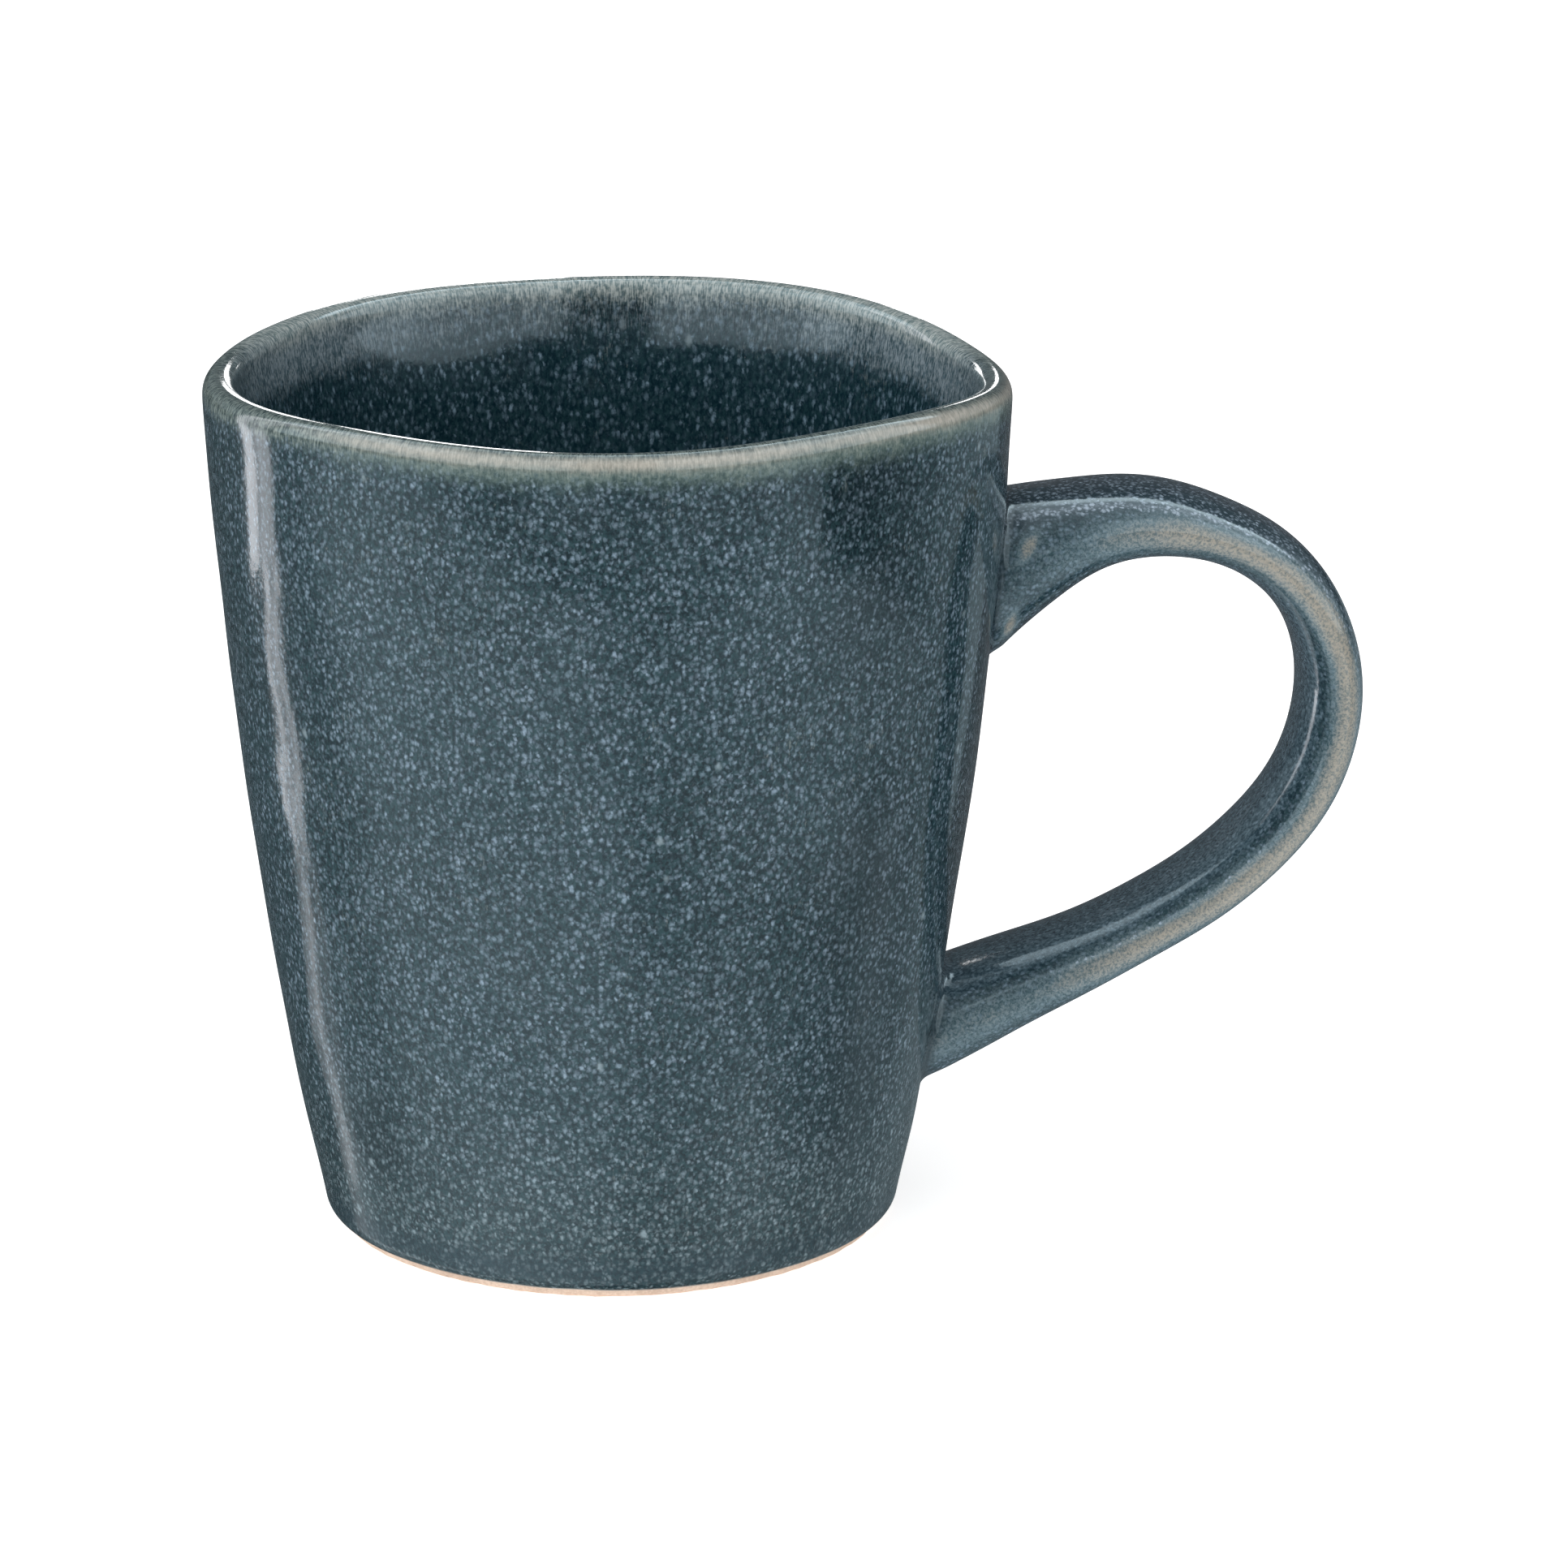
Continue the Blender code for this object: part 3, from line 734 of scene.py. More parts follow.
# painted highlights: lavender-white speckled lines along the upper strap near its top edge and along the lower
# strap's side, standing in for reflections
painted_highlight_at = 55.0 - 15.0 * (1 - ramp(share_run, 0.04, 0.26))
crest = np.exp(-((np.abs(side) - painted_highlight_at) / 10.0) ** 2) * ramp(share_run, 0.02, 0.08) * (
    1 - ramp(share_run, 0.34, 0.50))
crest = np.maximum(crest, 0.85 * np.exp(-((np.abs(side) - 113.0) / 4.5) ** 2)
                   * ramp(share_run, 0.58, 0.68) * (1 - ramp(share_run, 0.84, 0.92)))
# painted light: the strap's inner face gets a lighter ground and brighter crystals for the light it catches
under = ramp(np.abs(side), 122, 138) * ramp(share_run, 0.10, 0.30)
# painted light: the upper strap's outer face gets its own lighter ground and brighter, more crystals for how the
# light falls on it
top_face_painted_light = (1 - ramp(np.abs(side), 44, 60)) * (1 - ramp(share_run, 0.30, 0.55))
ends = np.minimum(np.abs(run_all - np.tile(upper_run, n_rows)),
                  np.abs(run_all - np.tile(lower_run, n_rows)))
crease_strap = np.exp(-(near_crease(strap_verts) / 0.0009) ** 2)
face_up = np.cos(turn_all)

glazed_strap = make_mesh("glazed_strap", strap_verts, strap_faces, {
    "flow": flow_strap,
    "cream": 0 * thin,
    "halo": 0 * thin,
    "pale": 0 * thin,
    "hair": 0 * thin,
    "low": 0 * thin,
    "crest": crest,
    "top": top_face_painted_light,
    "under": under,
    "sparse_crystals_and_painted_shade": 0 * thin,
    "back_lip_painted_reflection": 0 * thin,
    "thin": thin,
    "inner": 0 * thin,
    "foot_edge": 0 * thin,
    "pool": 0 * thin,
    "crease": crease_strap,
})

# ------------------------------------------------------------------ materials


def srgb(r, g, b):
    def lin(v):
        v /= 255.0
        return v / 12.92 if v <= 0.04045 else ((v + 0.055) / 1.055) ** 2.4

    return (lin(r), lin(g), lin(b), 1.0)


class Nodes:
    """Short hand for building a node tree."""

    def __init__(self, tree):
        self.tree = tree

    def new(self, kind, **settings):
        node = self.tree.nodes.new(kind)
        for key, value in settings.items():
            setattr(node, key, value)
        return node

    def put(self, socket, value):
        if isinstance(value, bpy.types.NodeSocket):
            self.tree.links.new(value, socket)
        else:
            socket.default_value = value

    def maths(self, operation, a, b=0.0, c=None, clamp=False):
        node = self.new("ShaderNodeMath", operation=operation, use_clamp=clamp)
        self.put(node.inputs[0], a)
        self.put(node.inputs[1], b)
        if c is not None:
            self.put(node.inputs[2], c)
        return node.outputs[0]

    def add(self, a, b):
        return self.maths("ADD", a, b)

    def times(self, a, b, clamp=False):
        return self.maths("MULTIPLY", a, b, clamp=clamp)

    def span(self, value, low, high, to_low=0.0, to_high=1.0, smooth=True):
        node = self.new(
            "ShaderNodeMapRange", interpolation_type="SMOOTHSTEP" if smooth else "LINEAR")
        self.put(node.inputs["Value"], value)
        for key, number in (("From Min", low), ("From Max", high),
                            ("To Min", to_low), ("To Max", to_high)):
            self.put(node.inputs[key], number)
        return node.outputs[0]

    def mix(self, factor, a, b, blend="MIX"):
        node = self.new("ShaderNodeMix", data_type="RGBA", blend_type=blend)
        self.put(node.inputs["Factor"], factor)
        self.put(node.inputs["A"], a)
        self.put(node.inputs["B"], b)
        return node.outputs["Result"]

    def vector(self, operation, a, b=None, scale=None):
        node = self.new("ShaderNodeVectorMath", operation=operation)
        self.put(node.inputs[0], a)
        if b is not None:
            self.put(node.inputs[1], b)
        if scale is not None:
            self.put(node.inputs["Scale"], scale)
        return node.outputs[0]

    def attribute(self, name, vector=False):
        node = self.new("ShaderNodeAttribute", attribute_type="GEOMETRY", attribute_name=name)
        return node.outputs["Vector" if vector else "Fac"]

    def noise(self, vector, scale, detail=2.0, rough=0.5, distortion=0.0, out="Fac"):
        node = self.new("ShaderNodeTexNoise", noise_dimensions="3D")
        self.put(node.inputs["Vector"], vector)
        node.inputs["Scale"].default_value = scale
        node.inputs["Detail"].default_value = detail
        node.inputs["Roughness"].default_value = rough
        node.inputs["Distortion"].default_value = distortion
        return node.outputs[out]

    def cells(self, vector, scale, feature="F1", random=1.0, smooth=None):
        node = self.new("ShaderNodeTexVoronoi", voronoi_dimensions="3D", feature=feature)
        self.put(node.inputs["Vector"], vector)
        node.inputs["Scale"].default_value = scale
        node.inputs["Randomness"].default_value = random
        if smooth is not None:
            node.inputs["Smoothness"].default_value = smooth
        return node


def new_material(name):
    mat = bpy.data.materials.new(name)
    mat.use_nodes = True
    n = Nodes(mat.node_tree)
    return mat, n, mat.node_tree.nodes["Principled BSDF"]


def glaze_material(name, deep, lit, roughness, on_strap=False, simple=False):
    """Reactive glaze: a deep ground full of small pale crystals, which breaks to
    cream where it runs thin and pools dark where it is thick. It also carries
    painted light: shade bands and a whitish back-lip reflection on the cup,
    lit faces and highlight lines on the strap."""
    mat, n, bsdf = new_material(name)
    place = n.new("ShaderNodeTexCoord").outputs["Object"]

    def randoms(cells):
        split = n.new("ShaderNodeSeparateColor")
        n.put(split.inputs[0], cells.outputs["Color"])
        return split.outputs[0], split.outputs[1]

    if not simple:
        inner = n.attribute("inner")
    # small unevenness of the coordinates, so that no crystal is round
    stir = n.noise(place, 1700.0, 2.0, 0.6, out="Color")
    stir = n.vector("SUBTRACT", stir, (0.5, 0.5, 0.5))
    stirred = n.vector("ADD", place, n.vector("SCALE", stir, scale=0.00056))
    if not simple and not on_strap:
        # inside, the crystals are drawn out down the wall, outside a little
        drawn_in = n.vector("MULTIPLY", stirred, (1.0, 1.0, 0.55))
        pick = n.new("ShaderNodeMix", data_type="VECTOR")
        n.put(pick.inputs["Factor"], n.maths("GREATER_THAN", inner, 0.02))
        n.put(pick.inputs[4], n.vector("MULTIPLY", stirred, (1.0, 1.0, 0.80)))
        n.put(pick.inputs[5], drawn_in)
        stirred = pick.outputs[1]

    # crystals: soft dots of uneven size and brightness, small ones between them,
    # and a mealy grain under all
    grain = n.span(n.noise(stirred, 2300.0, 3.0, 0.62), 0.36, 0.66)
    dots = n.cells(stirred, 1640.0, "F1", 0.88)
    dot_a, dot_b = randoms(dots)
    dot = n.maths("DIVIDE", dots.outputs["Distance"],
                  n.span(dot_a, 0.0, 1.0, 0.40, 0.72, smooth=False))
    dot = n.times(n.span(dot, 0.05, 1.0, 1.0, 0.0), n.span(dot_b, 0.0, 1.0, 0.42, 1.0, smooth=False))
    small = n.cells(stirred, 2600.0, "F1", 1.0)
    small_a, small_b = randoms(small)
    speck = n.times(n.span(small.outputs["Distance"], 0.10, 0.62, 1.0, 0.0),
                    n.span(small_b, 0.1, 0.9, 0.1, 1.0, smooth=False))
    crystals = n.add(n.times(dot, n.span(grain, 0.0, 1.0, 0.60, 1.08, smooth=False)),
                     n.times(speck, n.span(grain, 0.0, 1.0, 0.10, 0.46, smooth=False)))

    # clouds of more and fewer crystals
    cloud = n.noise(place, 55.0, 3.0, 0.5)
    cloud_b = n.noise(place, 210.0, 2.0, 0.5)
    amount = n.add(n.span(cloud, 0.34, 0.66, 0.92, 1.06), n.span(cloud_b, 0.3, 0.7, -0.05, 0.05))
    crystals = n.times(crystals, amount, clamp=True)

    ground = n.mix(n.span(cloud, 0.35, 0.65), deep[0], deep[1])
    mealy = srgb(41, 69, 74)
    crystal_colour = n.mix(n.span(cloud_b, 0.35, 0.65), lit[0], lit[1])
    if not simple:
        ground = n.mix(n.span(inner, 0.0, 0.7), ground, srgb(10, 36, 46))
        crystal_colour = n.mix(inner, crystal_colour, srgb(122, 148, 166))
        crystals = n.mix(n.span(inner, 0.2, 0.75), crystals,
                         n.times(crystals, n.span(dot_b, 0.2, 0.9, 0.35, 1.0)))
        crystals = n.times(crystals, n.span(inner, 0.76, 1.0, 1.0, 0.55, smooth=False))
        # fewer crystals and a darker ground; on the cup's sides this is partly painted shade
        sparse_crystals_and_painted_shade = n.times(n.attribute("sparse_crystals_and_painted_shade"), n.span(cloud_b, 0.30, 0.65, 0.65, 1.15))
        crystals = n.times(crystals, n.span(sparse_crystals_and_painted_shade, 0.0, 1.0, 1.0, 0.62, smooth=False))
        mealy = n.mix(sparse_crystals_and_painted_shade, mealy, srgb(34, 52, 56))
        low = n.attribute("low")
        crystal_colour = n.mix(n.times(low, 0.65), crystal_colour, srgb(122, 137, 138))
        crystals = n.times(crystals, n.span(low, 0.0, 1.0, 1.0, 1.12, smooth=False))
    ground = n.mix(n.times(grain, 0.58), ground, mealy)
    colour = n.mix(crystals, ground, crystal_colour)

    # a few larger pale blooms, and very few rust coloured ones
    blooms = n.cells(stirred, 170.0, "F1", 1.0)
    bloom_a, bloom_b = randoms(blooms)
    bloom = n.times(n.span(blooms.outputs["Distance"], 0.02, 0.10, 0.5, 0.0),
                    n.span(bloom_a, 0.50, 0.62))
    colour = n.mix(bloom, colour, srgb(146, 164, 172))
    rust = n.cells(stirred, 70.0, "F1", 1.0)
    rust_a, rust_b = randoms(rust)
    rust_dot = n.times(n.span(rust.outputs["Distance"], 0.012, 0.032, 0.7, 0.0),
                       n.span(rust_b, 0.80, 0.84))
    colour = n.mix(rust_dot, colour, srgb(104, 70, 54))

    if not simple:
        # runs: fine streaks that follow the way the glaze flowed
        flow = n.attribute("flow", vector=True)
        drawn = n.vector("MULTIPLY", flow, (1.0, 1.0, 0.22))
        streak = n.noise(drawn, 5200.0, 2.0, 0.55)
        streak_wide = n.noise(drawn, 1300.0, 2.0, 0.5)
        fine = n.noise(place, 2300.0, 2.0, 0.6)
        streaks = n.add(n.add(n.times(streak, 0.55), n.times(streak_wide, 0.15)),
                        n.times(fine, 0.30))
        off = n.maths("SUBTRACT", streaks, 0.5)
        soft_off = n.add(n.maths("SUBTRACT", n.noise(place, 1100.0, 3.0, 0.6), 0.5),
                         n.times(n.maths("SUBTRACT", n.noise(place, 150.0, 2.0, 0.5), 0.5), 0.8))

        pale = n.attribute("pale")
        pale_mask = n.times(n.span(n.add(pale, n.add(n.times(off, 0.6), n.times(soft_off, 0.5))),
                                   0.10, 1.05), 0.90)
        colour = n.mix(pale_mask, colour, n.mix(
            n.span(streaks, 0.38, 0.62), srgb(34, 51, 54), srgb(122, 134, 130)))
        hair = n.attribute("hair")
        hair_mask = n.times(n.span(n.add(hair, n.add(n.times(off, 1.3), n.times(soft_off, 0.6))),
                                   0.15, 1.15), 0.88)
        colour = n.mix(hair_mask, colour, n.mix(
            n.span(streaks, 0.40, 0.60), srgb(66, 88, 97), srgb(138, 152, 160)))
        # painted reflection: whitish streaks over the inner edge at the back
        back_lip_painted_reflection = n.attribute("back_lip_painted_reflection")
        back_lip_painted_reflection_mask = n.times(n.span(n.add(back_lip_painted_reflection, n.add(n.times(off, 1.1), n.times(soft_off, 0.6))),
                                   0.10, 1.05), 0.82)
        colour = n.mix(back_lip_painted_reflection_mask, colour, n.mix(
            n.span(streaks, 0.38, 0.62), srgb(104, 124, 126), srgb(180, 187, 184)))
        halo = n.attribute("halo")
        colour = n.mix(n.times(n.span(n.add(halo, n.times(soft_off, 0.7)), 0.1, 1.2), 0.75), colour,
                       n.mix(n.times(grain, 0.8), srgb(72, 90, 87), srgb(110, 124, 118)))
        cream = n.attribute("cream")
        cream_mask = n.times(n.span(n.add(cream, n.add(n.times(off, 0.26), n.times(soft_off, 0.50))),
                                    0.10, 1.12), 0.95)
        colour = n.mix(cream_mask, colour, n.mix(
            n.span(streaks, 0.34, 0.66), srgb(150, 147, 138), srgb(176, 171, 161)))

        if on_strap:
            thin = n.attribute("thin")
            patch = n.noise(place, 160.0, 2.0, 0.5)
            pepper = n.noise(stirred, 3300.0, 3.0, 0.65)
            mottle = n.add(n.times(n.maths("SUBTRACT", pepper, 0.5), 0.50),
                           n.times(n.maths("SUBTRACT", patch, 0.5), 0.30))
            edge = n.add(thin, mottle)
            bluish = n.mix(n.span(pepper, 0.36, 0.64), srgb(70, 91, 98), srgb(104, 123, 131))
            colour = n.mix(n.times(n.span(edge, 0.0, 0.60), 0.80), colour, bluish)
            tan = n.mix(n.span(pepper, 0.36, 0.58), srgb(124, 126, 121), srgb(155, 148, 135))
            colour = n.mix(n.times(n.span(edge, 0.42, 1.02), 0.86), colour, tan)
            # painted light on the strap's inner face
            under = n.attribute("under")
            colour = n.mix(n.times(under, 0.80), colour, n.mix(
                n.times(n.add(grain, crystals), 0.62, clamp=True), srgb(46, 67, 78), srgb(112, 135, 148)))
            # painted light on the upper strap's outer face
            top = n.attribute("top")
            colour = n.mix(n.times(top, 0.85), colour, n.mix(
                n.times(crystals, 1.25, clamp=True), srgb(34, 52, 62), srgb(146, 164, 180)))
            # painted highlight lines, lavender-white over the crystals
            crest = n.attribute("crest")
            painted_highlight_mask = n.times(n.span(n.add(n.times(crest, 0.55), n.times(crystals, 0.70)), 0.40, 1.05),
                                 n.span(crest, 0.05, 0.50))
            colour = n.mix(n.times(painted_highlight_mask, 0.90), colour, srgb(166, 180, 196))
            grit = n.times(n.span(small.outputs["Distance"], 0.15, 0.42, 1.0, 0.0),
                           n.span(small_a, 0.45, 0.60))
            colour = n.mix(n.times(n.times(grit, thin), 0.50), colour, srgb(62, 78, 84))

        crease = n.attribute("crease")
        colour = n.mix(n.times(crease, 0.85), colour, srgb(14, 25, 32))
        pool = n.attribute("pool")
        colour = n.mix(n.times(pool, 0.62), colour, srgb(20, 40, 50))
        edge = n.attribute("foot_edge")
        colour = n.mix(n.times(edge, 0.85), colour, srgb(198, 197, 192))

    n.put(bsdf.inputs["Base Color"], colour)
    rough = n.add(roughness, n.times(n.span(cloud_b, 0.3, 0.7), 0.025))
    rough = n.add(rough, n.times(dot, 0.04))
    n.put(bsdf.inputs["Roughness"], rough)
    bsdf.inputs["IOR"].default_value = 1.52
    bsdf.inputs["Specular IOR Level"].default_value = 0.5

    # skin: shallow orange peel, and crystals that stand a little proud
    peel = n.noise(stirred, 1250.0, 2.0, 0.55)
    swell = n.noise(place, 260.0, 2.0, 0.5)
    height = n.add(n.add(n.times(peel, 0.60), n.times(swell, 1.1)), n.times(dot, 0.22))
    bump = n.new("ShaderNodeBump")
    bump.inputs["Strength"].default_value = 1.0
    bump.inputs["Distance"].default_value = 0.000014
    n.put(bump.inputs["Height"], height)
    n.put(bsdf.inputs["Normal"], bump.outputs[0])
    return mat


def clay_material(name, light, dark):
    """Bare fired stoneware: sandy, with grog and small iron specks."""
    mat, n, bsdf = new_material(name)
    place = n.new("ShaderNodeTexCoord").outputs["Object"]
    sand = n.noise(place, 2600.0, 4.0, 0.7)
    body = n.noise(place, 160.0, 3.0, 0.55)
    colour = n.mix(n.span(n.add(n.times(sand, 0.6), n.times(body, 0.4)), 0.38, 0.62), dark, light)
    iron = n.cells(place, 900.0, "F1", 1.0)
    iron_random = n.new("ShaderNodeSeparateColor")
    n.put(iron_random.inputs[0], iron.outputs["Color"])
    iron_dot = n.times(n.span(iron.outputs["Distance"], 0.10, 0.26, 1.0, 0.0),
                       n.span(iron_random.outputs[0], 0.86, 0.90))
    colour = n.mix(n.times(iron_dot, 0.8), colour, srgb(92, 62, 46))
    n.put(bsdf.inputs["Base Color"], colour)
    n.put(bsdf.inputs["Roughness"], n.span(sand, 0.3, 0.7, 0.72, 0.92))
    bsdf.inputs["IOR"].default_value = 1.45
    grit = n.cells(place, 2200.0, "F1", 1.0)
    height = n.add(n.times(sand, 0.7), n.times(grit.outputs["Distance"], -0.5))
    bump = n.new("ShaderNodeBump")
    bump.inputs["Distance"].default_value = 0.00006
    bump.inputs["Strength"].default_value = 0.8
    n.put(bump.inputs["Height"], height)
    n.put(bsdf.inputs["Normal"], bump.outputs[0])
    return mat


GLAZE_CUP = glaze_material(
    "reactive_glaze_cup",
    (srgb(5, 22, 28), srgb(8, 27, 34)), (srgb(110, 129, 143), srgb(120, 138, 154)), 0.075)
GLAZE_STRAP = glaze_material(
    "reactive_glaze_strap",
    (srgb(18, 35, 43), srgb(24, 42, 51)), (srgb(110, 132, 148), srgb(120, 140, 158)), 0.075,
    on_strap=True)
GLAZE_FOOT = glaze_material(
    "reactive_glaze_foot",
    (srgb(20, 36, 44), srgb(26, 44, 52)), (srgb(100, 122, 136), srgb(112, 132, 148)), 0.12,
    simple=True)
CLAY_FOOT = clay_material("bare_stoneware_foot", srgb(222, 199, 181), srgb(198, 172, 153))
CLAY_STRAP = clay_material("stoneware_under_glaze", srgb(206, 176, 154), srgb(178, 148, 126))
CLAY_SLIP = clay_material("joining_slip", srgb(190, 160, 140), srgb(160, 132, 114))

for piece, material, nodes, slot in (
    (glazed_cup, GLAZE_CUP, ("outer_glaze", "liner_glaze"), "outer_blue_glaze"),
    (clay_cup, CLAY_FOOT, ("cup_body",), "bare_stoneware"),
    (foot_island, GLAZE_FOOT, ("foot_recess_glaze",), "outer_blue_glaze"),
    (glazed_strap, GLAZE_STRAP, ("handle_glaze",), "outer_blue_glaze"),
):
    piece.data.materials.append(material)
    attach(piece, "root")
    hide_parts(*nodes)

for node, material, slot in (
    ("handle", CLAY_STRAP, "bare_stoneware"),
    ("upper_slip_joint", CLAY_SLIP, "joint_slip"),
    ("lower_slip_joint", CLAY_SLIP, "joint_slip"),
):
    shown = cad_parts[node]
    shown.data.materials.clear()
    shown.data.materials.append(material)

# --------------------------------------------------------------------- studio
# Floor: a wide pale sweep. It gives no reflection of itself; what the glaze
# reflects of the studio is set in the world below.
side_length = 6.0
floor_mesh = bpy.data.meshes.new("studio_floor")
steps_across = 24
coords = np.linspace(-0.5 * side_length, 0.5 * side_length, steps_across + 1)
floor_verts = [(x, y, -0.00002) for y in coords for x in coords]
floor_faces = [
    (r * (steps_across + 1) + c, r * (steps_across + 1) + c + 1,
     (r + 1) * (steps_across + 1) + c + 1, (r + 1) * (steps_across + 1) + c)
    for r in range(steps_across) for c in range(steps_across)
]
floor_mesh.from_pydata(floor_verts, [], floor_faces)
floor = bpy.data.objects.new("studio_floor", floor_mesh)
bpy.context.scene.collection.objects.link(floor)
floor.visible_glossy = False
floor_mat, n, bsdf = new_material("pale_floor")
tree = floor_mat.node_tree
dust = n.noise(n.new("ShaderNodeTexCoord").outputs["Object"], 9.0, 3.0, 0.5)
n.put(bsdf.inputs["Base Color"], n.mix(dust, srgb(250, 250, 250), srgb(247, 247, 248)))
bsdf.inputs["Roughness"].default_value = 0.9
bsdf.inputs["Specular IOR Level"].default_value = 0.0
bsdf.inputs["Emission Color"].default_value = (1.0, 1.0, 1.0, 1.0)
bsdf.inputs["Emission Strength"].default_value = 0.62
floor.data.materials.append(floor_mat)

# World: white behind the mug, soft light all round, and for reflections a
# studio of soft boxes and flags, given by direction.
BACK = Vector((-0.12187, -0.99255, 0.0)).normalized()     # from the mug to the front
RIGHT = Vector((0.99255, -0.12187, 0.0)).normalized()



def card(name, middle, half_wide, low, high):
    """An upright card facing the camera's way, which only the glaze sees."""
    mesh = bpy.data.meshes.new(name)
    corners = [
        (middle + RIGHT * half_wide * (column / 2 - 1)).to_2d().to_tuple()
        + (low + (high - low) * row / 8,) for row in range(9) for column in range(5)]
    mesh.from_pydata(corners, [], [
        (k, k + 1, k + 6, k + 5) for k in (r * 5 + c for r in range(8) for c in range(4))])
    shown = bpy.data.objects.new(name, mesh)
    bpy.context.scene.collection.objects.link(shown)
    shown.visible_camera = shown.visible_diffuse = shown.visible_transmission = False
    shown.visible_shadow = shown.visible_volume_scatter = False
    return shown


# Slim lamps close behind the mug draw the bright lines on the inner edge of the
# lip; a dark flag keeps them off the handle.
lamp_mat, n, bsdf = new_material("lamp_cloth")
weave = n.noise(n.new("ShaderNodeTexCoord").outputs["Object"], 60.0, 2.0, 0.5)
n.put(bsdf.inputs["Base Color"], n.mix(weave, srgb(230, 230, 232), srgb(240, 240, 242)))
bsdf.inputs["Emission Color"].default_value = (1.0, 1.0, 1.0, 1.0)
bsdf.inputs["Emission Strength"].default_value = 4.5
behind = Vector((*AXIS, 0.0)) - BACK * 0.205
for name, across, half_wide, low, high in (
    ("studio_lamp_middle", -0.0245, 0.0125, 0.070, 0.158),
    ("studio_lamp_left", -0.0462, 0.0040, 0.080, 0.130),
    ("studio_lamp_right", 0.0447, 0.0032, 0.108, 0.128),
):
    card(name, behind + RIGHT * across, half_wide, low, high).data.materials.append(lamp_mat)
flag = card("studio_flag_low", Vector((*AXIS, 0.0)) - BACK * 0.064 + RIGHT * 0.062, 0.030, 0.0, 0.0985)
flag_high = card("studio_flag_high", Vector((*AXIS, 0.0)) - BACK * 0.064 + RIGHT * 0.0625, 0.0150, 0.0985, 0.132)
flag_mat, n, bsdf = new_material("flag_cloth")
weave = n.noise(n.new("ShaderNodeTexCoord").outputs["Object"], 900.0, 2.0, 0.5)
n.put(bsdf.inputs["Base Color"], n.mix(weave, srgb(38, 40, 44), srgb(50, 52, 56)))
bsdf.inputs["Roughness"].default_value = 1.0
bsdf.inputs["Specular IOR Level"].default_value = 0.0
bsdf.inputs["Emission Color"].default_value = (0.86, 0.95, 1.0, 1.0)
bsdf.inputs["Emission Strength"].default_value = 0.08
flag.data.materials.append(flag_mat)
flag_high.data.materials.append(flag_mat)

world = bpy.data.worlds.new("soft_studio")
bpy.context.scene.world = world
world.use_nodes = True
world.node_tree.nodes.clear()
n = Nodes(world.node_tree)
way = n.vector("NORMALIZE", n.new("ShaderNodeTexCoord").outputs["Generated"])


def dot_with(vector):
    node = n.new("ShaderNodeVectorMath", operation="DOT_PRODUCT")
    n.put(node.inputs[0], way)
    node.inputs[1].default_value = tuple(vector)
    return node.outputs["Value"]


azimuth = n.times(n.maths("ARCTAN2", dot_with(RIGHT), dot_with(BACK)), 180.0 / math.pi)
up_part = dot_with((0.0, 0.0, 1.0))
elevation = n.times(n.maths("ARCSINE", up_part), 180.0 / math.pi)


def curve(value, low, high, top, points):
    """A line through points (place, value), value from 0 to top."""
    node = n.new("ShaderNodeFloatCurve")
    mapping = node.mapping
    mapping.extend = "HORIZONTAL"
    line = mapping.curves[0]
    scaled = [((x - low) / (high - low), y / top) for x, y in points]
    line.points[0].location = scaled[0]
    line.points[1].location = scaled[-1]
    for x, y in scaled[1:-1]:
        line.points.new(x, y)
    for p in line.points:
        p.handle_type = "VECTOR"
    mapping.update()
    n.put(node.inputs["Value"], n.span(value, low, high, smooth=False))
    return n.times(node.outputs[0], top)


def box(value, low, high, soft):
    return n.times(n.span(value, low - soft, low + soft),
                   n.span(value, high - soft, high + soft, 1.0, 0.0))


def blend(factor, a, b):
    return n.add(a, n.times(factor, n.maths("SUBTRACT", b, a)))


# What lies below the horizon: the pale floor, lit unevenly, as brightness by
# direction round the mug at four depths.
low_20 = curve(azimuth, -180, 180, 2.4, (
    (-180, 0.04), (-150, 0.08), (-140, 0.14), (-130, 0.24), (-108, 0.50), (-104, 0.60),
    (-93, 0.70), (-90, 1.20), (-84, 1.62), (-76, 1.85), (-66, 1.80), (-55, 1.40), (-45, 0.80),
    (-35, 0.50), (-20, 0.36), (0, 0.32), (15, 0.32), (30, 0.50), (45, 0.95), (58, 1.35),
    (66, 1.35), (69, 0.10), (80, 0.06), (92, 0.25), (104, 0.45), (116, 0.62), (124, 0.62),
    (132, 0.66), (141, 0.55), (154, 0.35), (180, 0.10)))
low_25 = curve(azimuth, -180, 180, 2.4, (
    (-180, 0.04), (-150, 0.08), (-140, 0.13), (-129, 0.22), (-106, 0.60), (-96, 0.66),
    (-90, 1.00), (-84, 1.45), (-76, 1.90), (-60, 1.95), (-45, 1.90), (-30, 1.70), (-15, 1.75),
    (0, 1.15), (12, 1.05), (30, 1.30), (50, 1.40), (64, 1.45), (77, 1.35), (83, 1.20),
    (88, 1.00), (96, 0.95), (104, 0.95), (109, 0.65), (116, 0.50), (130, 0.55), (141, 0.50),
    (154, 0.25), (180, 0.10)))
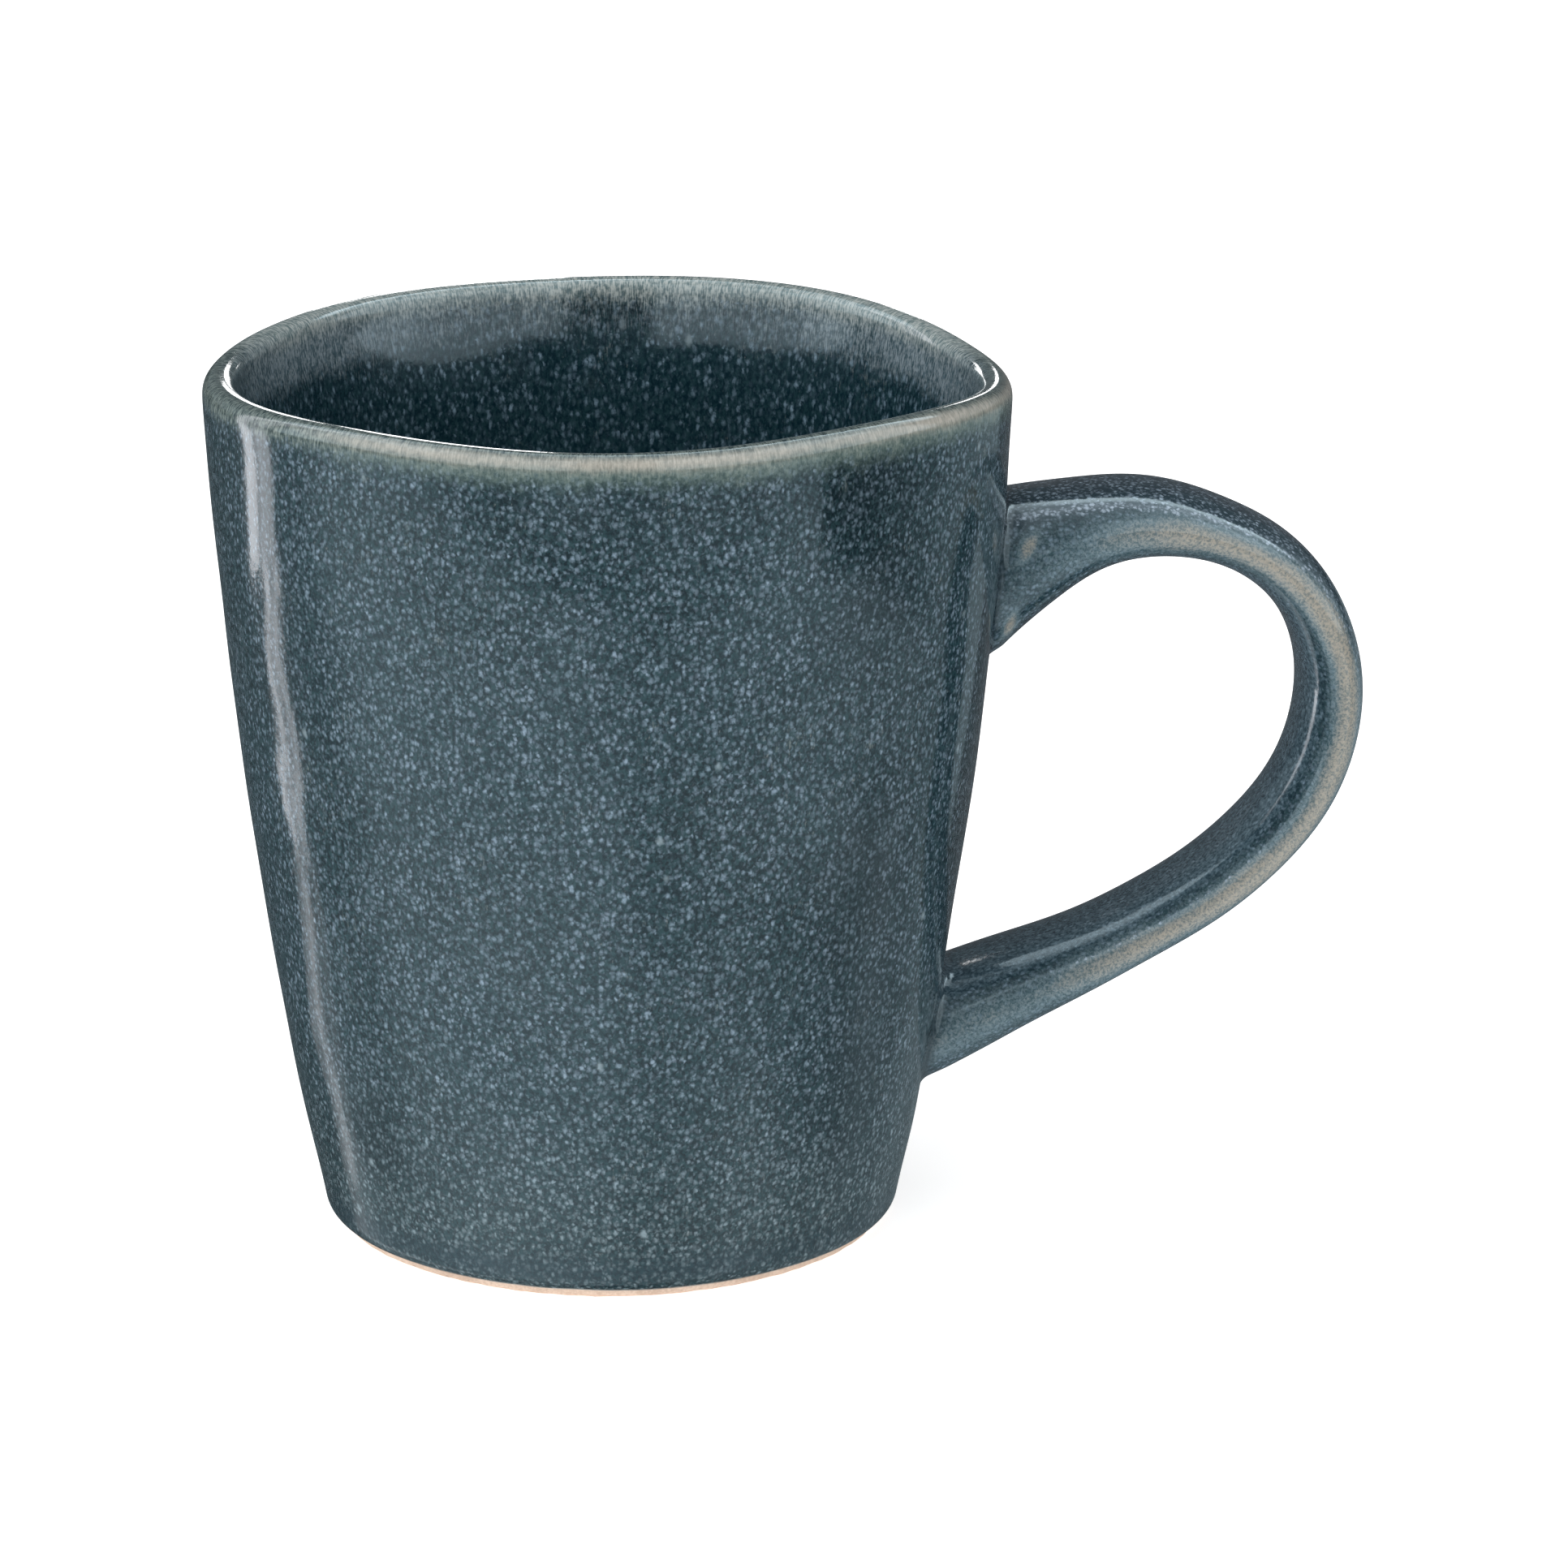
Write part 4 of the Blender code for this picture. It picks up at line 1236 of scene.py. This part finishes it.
low_31 = curve(azimuth, -180, 180, 2.4, (
    (-180, 0.04), (-146, 0.12), (-136, 0.36), (-128, 0.56), (-121, 1.00), (-108, 1.10),
    (-102, 0.95), (-92, 0.95), (-86, 1.40), (-74, 1.85), (-54, 1.90), (-40, 1.90), (-20, 1.90),
    (-8, 1.85), (4, 1.60), (13, 1.10), (30, 1.15), (50, 1.15), (62, 0.95), (74, 0.75),
    (81, 0.66), (92, 0.60), (104, 0.75), (113, 0.75), (120, 0.60), (133, 0.55), (144, 0.35),
    (180, 0.10)))
low_38 = curve(azimuth, -180, 180, 2.4, (
    (-180, 0.15), (-148, 0.40), (-138, 0.70), (-124, 0.95), (-112, 1.10), (-100, 1.20),
    (-86, 1.50), (-70, 1.90), (-54, 2.40), (-40, 2.30), (-24, 2.10), (-12, 2.00), (1, 1.70),
    (13, 1.40), (27, 1.40), (42, 1.50), (55, 1.70), (68, 1.60), (82, 1.10), (94, 1.00),
    (106, 0.90), (118, 0.70), (132, 0.60), (145, 0.40), (180, 0.12)))
floor_light = blend(n.span(elevation, -19.5, -24.5), low_20, low_25)
floor_light = blend(n.span(elevation, -25.5, -30.5), floor_light, low_31)
floor_light = blend(n.span(elevation, -31.5, -38.0), floor_light, low_38)
floor_light = n.times(floor_light, n.span(elevation, -9.0, -3.0, 1.0, 0.0))
floor_light = n.times(floor_light, n.span(elevation, -85.0, -50.0, 0.7, 1.0))

# A tall strip of light on the left with a thin frame edge in it, and beside it
# a dimmer one. Both stand on the floor and fade towards their feet.
# The tall lamp on the left stands as a wavering double line.
from_left = n.maths("SUBTRACT", azimuth, n.add(-140.0, curve(elevation, -32, -12, 30.0, (
    (-32, 6), (-28, 11), (-24.6, 12), (-23.6, 14), (-22.9, 19.5), (-21.8, 20.7), (-21.3, 18),
    (-20.5, 18), (-20.0, 21.5), (-18.5, 21.8), (-18.1, 14), (-17.2, 14), (-16.6, 15.4),
    (-12, 15)))))
upper_part = n.add(n.times(box(from_left, 0.0, 6.8, 0.25), 3.9),
                   n.times(box(from_left, 7.8, 16.6, 0.4), 2.35))
middle_part = n.add(n.times(box(from_left, 0.0, 3.0, 0.25), 4.0),
                    n.add(n.times(box(from_left, 3.1, 5.8, 0.25), 1.2),
                          n.times(box(from_left, 5.9, 9.6, 0.3), 3.0)))
lower_part = n.add(n.times(box(from_left, 0.0, 3.8, 0.8), 0.75),
                   n.add(n.times(box(from_left, 4.2, 11.0, 1.2), 1.45),
                         n.times(box(from_left, 12.4, 17.0, 1.5), 0.45)))
broken = n.noise(way, 26.0, 3.0, 0.6)
lower_part = n.times(lower_part, n.span(broken, 0.38, 0.58, 0.45, 1.25))
strip = blend(n.span(elevation, -18.0, -18.3), upper_part, middle_part)
strip = n.times(strip, n.span(elevation, -21.6, -22.6, 1.0, 0.62))
strip = blend(n.span(elevation, -22.7, -23.6), strip, lower_part)
strip = n.times(strip, n.span(elevation, -31.0, -27.0, 0.35, 1.0))
strip = n.times(strip, n.span(elevation, 45.0, 65.0, 1.0, 0.0))
strip = n.times(strip, n.span(elevation, -14.0, -4.0, 1.0, 0.62))

# Above the horizon: soft boxes left and right, two weaker ones in front with a
# gap between them, and a big one overhead that reaches a little behind.
high = curve(azimuth, -180, 180, 5.0, (
    (-180, 0.06), (-150, 0.10), (-134, 0.30), (-106, 0.40), (-102, 1.9), (-70, 1.9),
    (-60, 1.45), (-15, 1.45), (-11, 0.10), (13, 0.10), (17, 1.35), (60, 1.45), (70, 1.9),
    (100, 1.9), (104, 0.40), (140, 0.30), (150, 0.10), (180, 0.06)))
high = n.times(high, n.times(n.span(elevation, 1.0, 6.0), n.span(elevation, 52.0, 66.0, 1.0, 0.0)))
pitch = n.times(n.maths("ARCTAN2", up_part, dot_with(BACK)), 180.0 / math.pi)
over = n.add(n.span(pitch, 36.0, 122.0, 0.1, 1.9, smooth=False),
             n.times(n.span(pitch, 121.0, 126.0, 0.0, 2.4), n.span(dot_with(RIGHT), -0.10, 0.0)))
over = n.times(over, n.span(pitch, 131.0, 132.5, 1.0, 0.0))
over = n.times(over, n.span(n.maths("ABSOLUTE", dot_with(RIGHT)), 0.70, 0.80, 1.0, 0.0))
over = n.times(over, n.span(elevation, 22.0, 42.0))

veil = n.add(n.add(n.times(floor_light, 0.62), over), 0.05)


def emitting(colour, strength):
    node = n.new("ShaderNodeBackground")
    node.inputs["Color"].default_value = (*colour, 1.0)
    n.put(node.inputs["Strength"], strength)
    return node.outputs[0]


def both(a, b):
    node = n.new("ShaderNodeAddShader")
    n.tree.links.new(a, node.inputs[0])
    n.tree.links.new(b, node.inputs[1])
    return node.outputs[0]


glossy = both(emitting((0.80, 1.0, 1.10), n.add(veil, high)), emitting((1.0, 1.01, 1.06), strip))

soft = n.new("ShaderNodeBackground")
soft.inputs["Color"].default_value = (1.0, 1.0, 1.0, 1.0)
front = n.span(dot_with(BACK), -1.0, 1.0, 0.27, 1.59, smooth=False)
left = n.span(dot_with(RIGHT), -1.0, 1.0, 0.44, -0.44, smooth=False)
n.put(soft.inputs["Strength"], n.add(front, left))

white = n.new("ShaderNodeBackground")
white.inputs["Color"].default_value = (1.0, 1.0, 1.0, 1.0)
white.inputs["Strength"].default_value = 1.0

path = n.new("ShaderNodeLightPath")
first = n.new("ShaderNodeMixShader")
n.put(first.inputs[0], path.outputs["Is Glossy Ray"])
n.tree.links.new(soft.outputs[0], first.inputs[1])
n.tree.links.new(glossy, first.inputs[2])
second = n.new("ShaderNodeMixShader")
n.put(second.inputs[0], path.outputs["Is Camera Ray"])
n.tree.links.new(first.outputs[0], second.inputs[1])
n.tree.links.new(white.outputs[0], second.inputs[2])
out = n.new("ShaderNodeOutputWorld")
n.tree.links.new(second.outputs[0], out.inputs["Surface"])

bpy.context.scene.view_settings.view_transform = "Standard"
bpy.context.scene.view_settings.look = "None"

# --------------------------------------------------------------------- camera
camera_data = bpy.data.cameras.new("camera")
camera_data.sensor_width = 36.0
camera_data.lens = 160.40
camera_data.clip_start, camera_data.clip_end = 0.01, 20.0
camera = bpy.data.objects.new("camera", camera_data)
bpy.context.scene.collection.objects.link(camera)
target = Vector((-0.00088, -0.002335, 0.04881))
rise = math.radians(15.875)
toward = Vector((-0.12187 * math.cos(rise), -0.99255 * math.cos(rise), math.sin(rise))).normalized()
camera.location = target + toward * 0.7652
camera.rotation_mode = "QUATERNION"
camera.rotation_quaternion = (-toward).to_track_quat("-Z", "Y")
bpy.context.scene.camera = camera
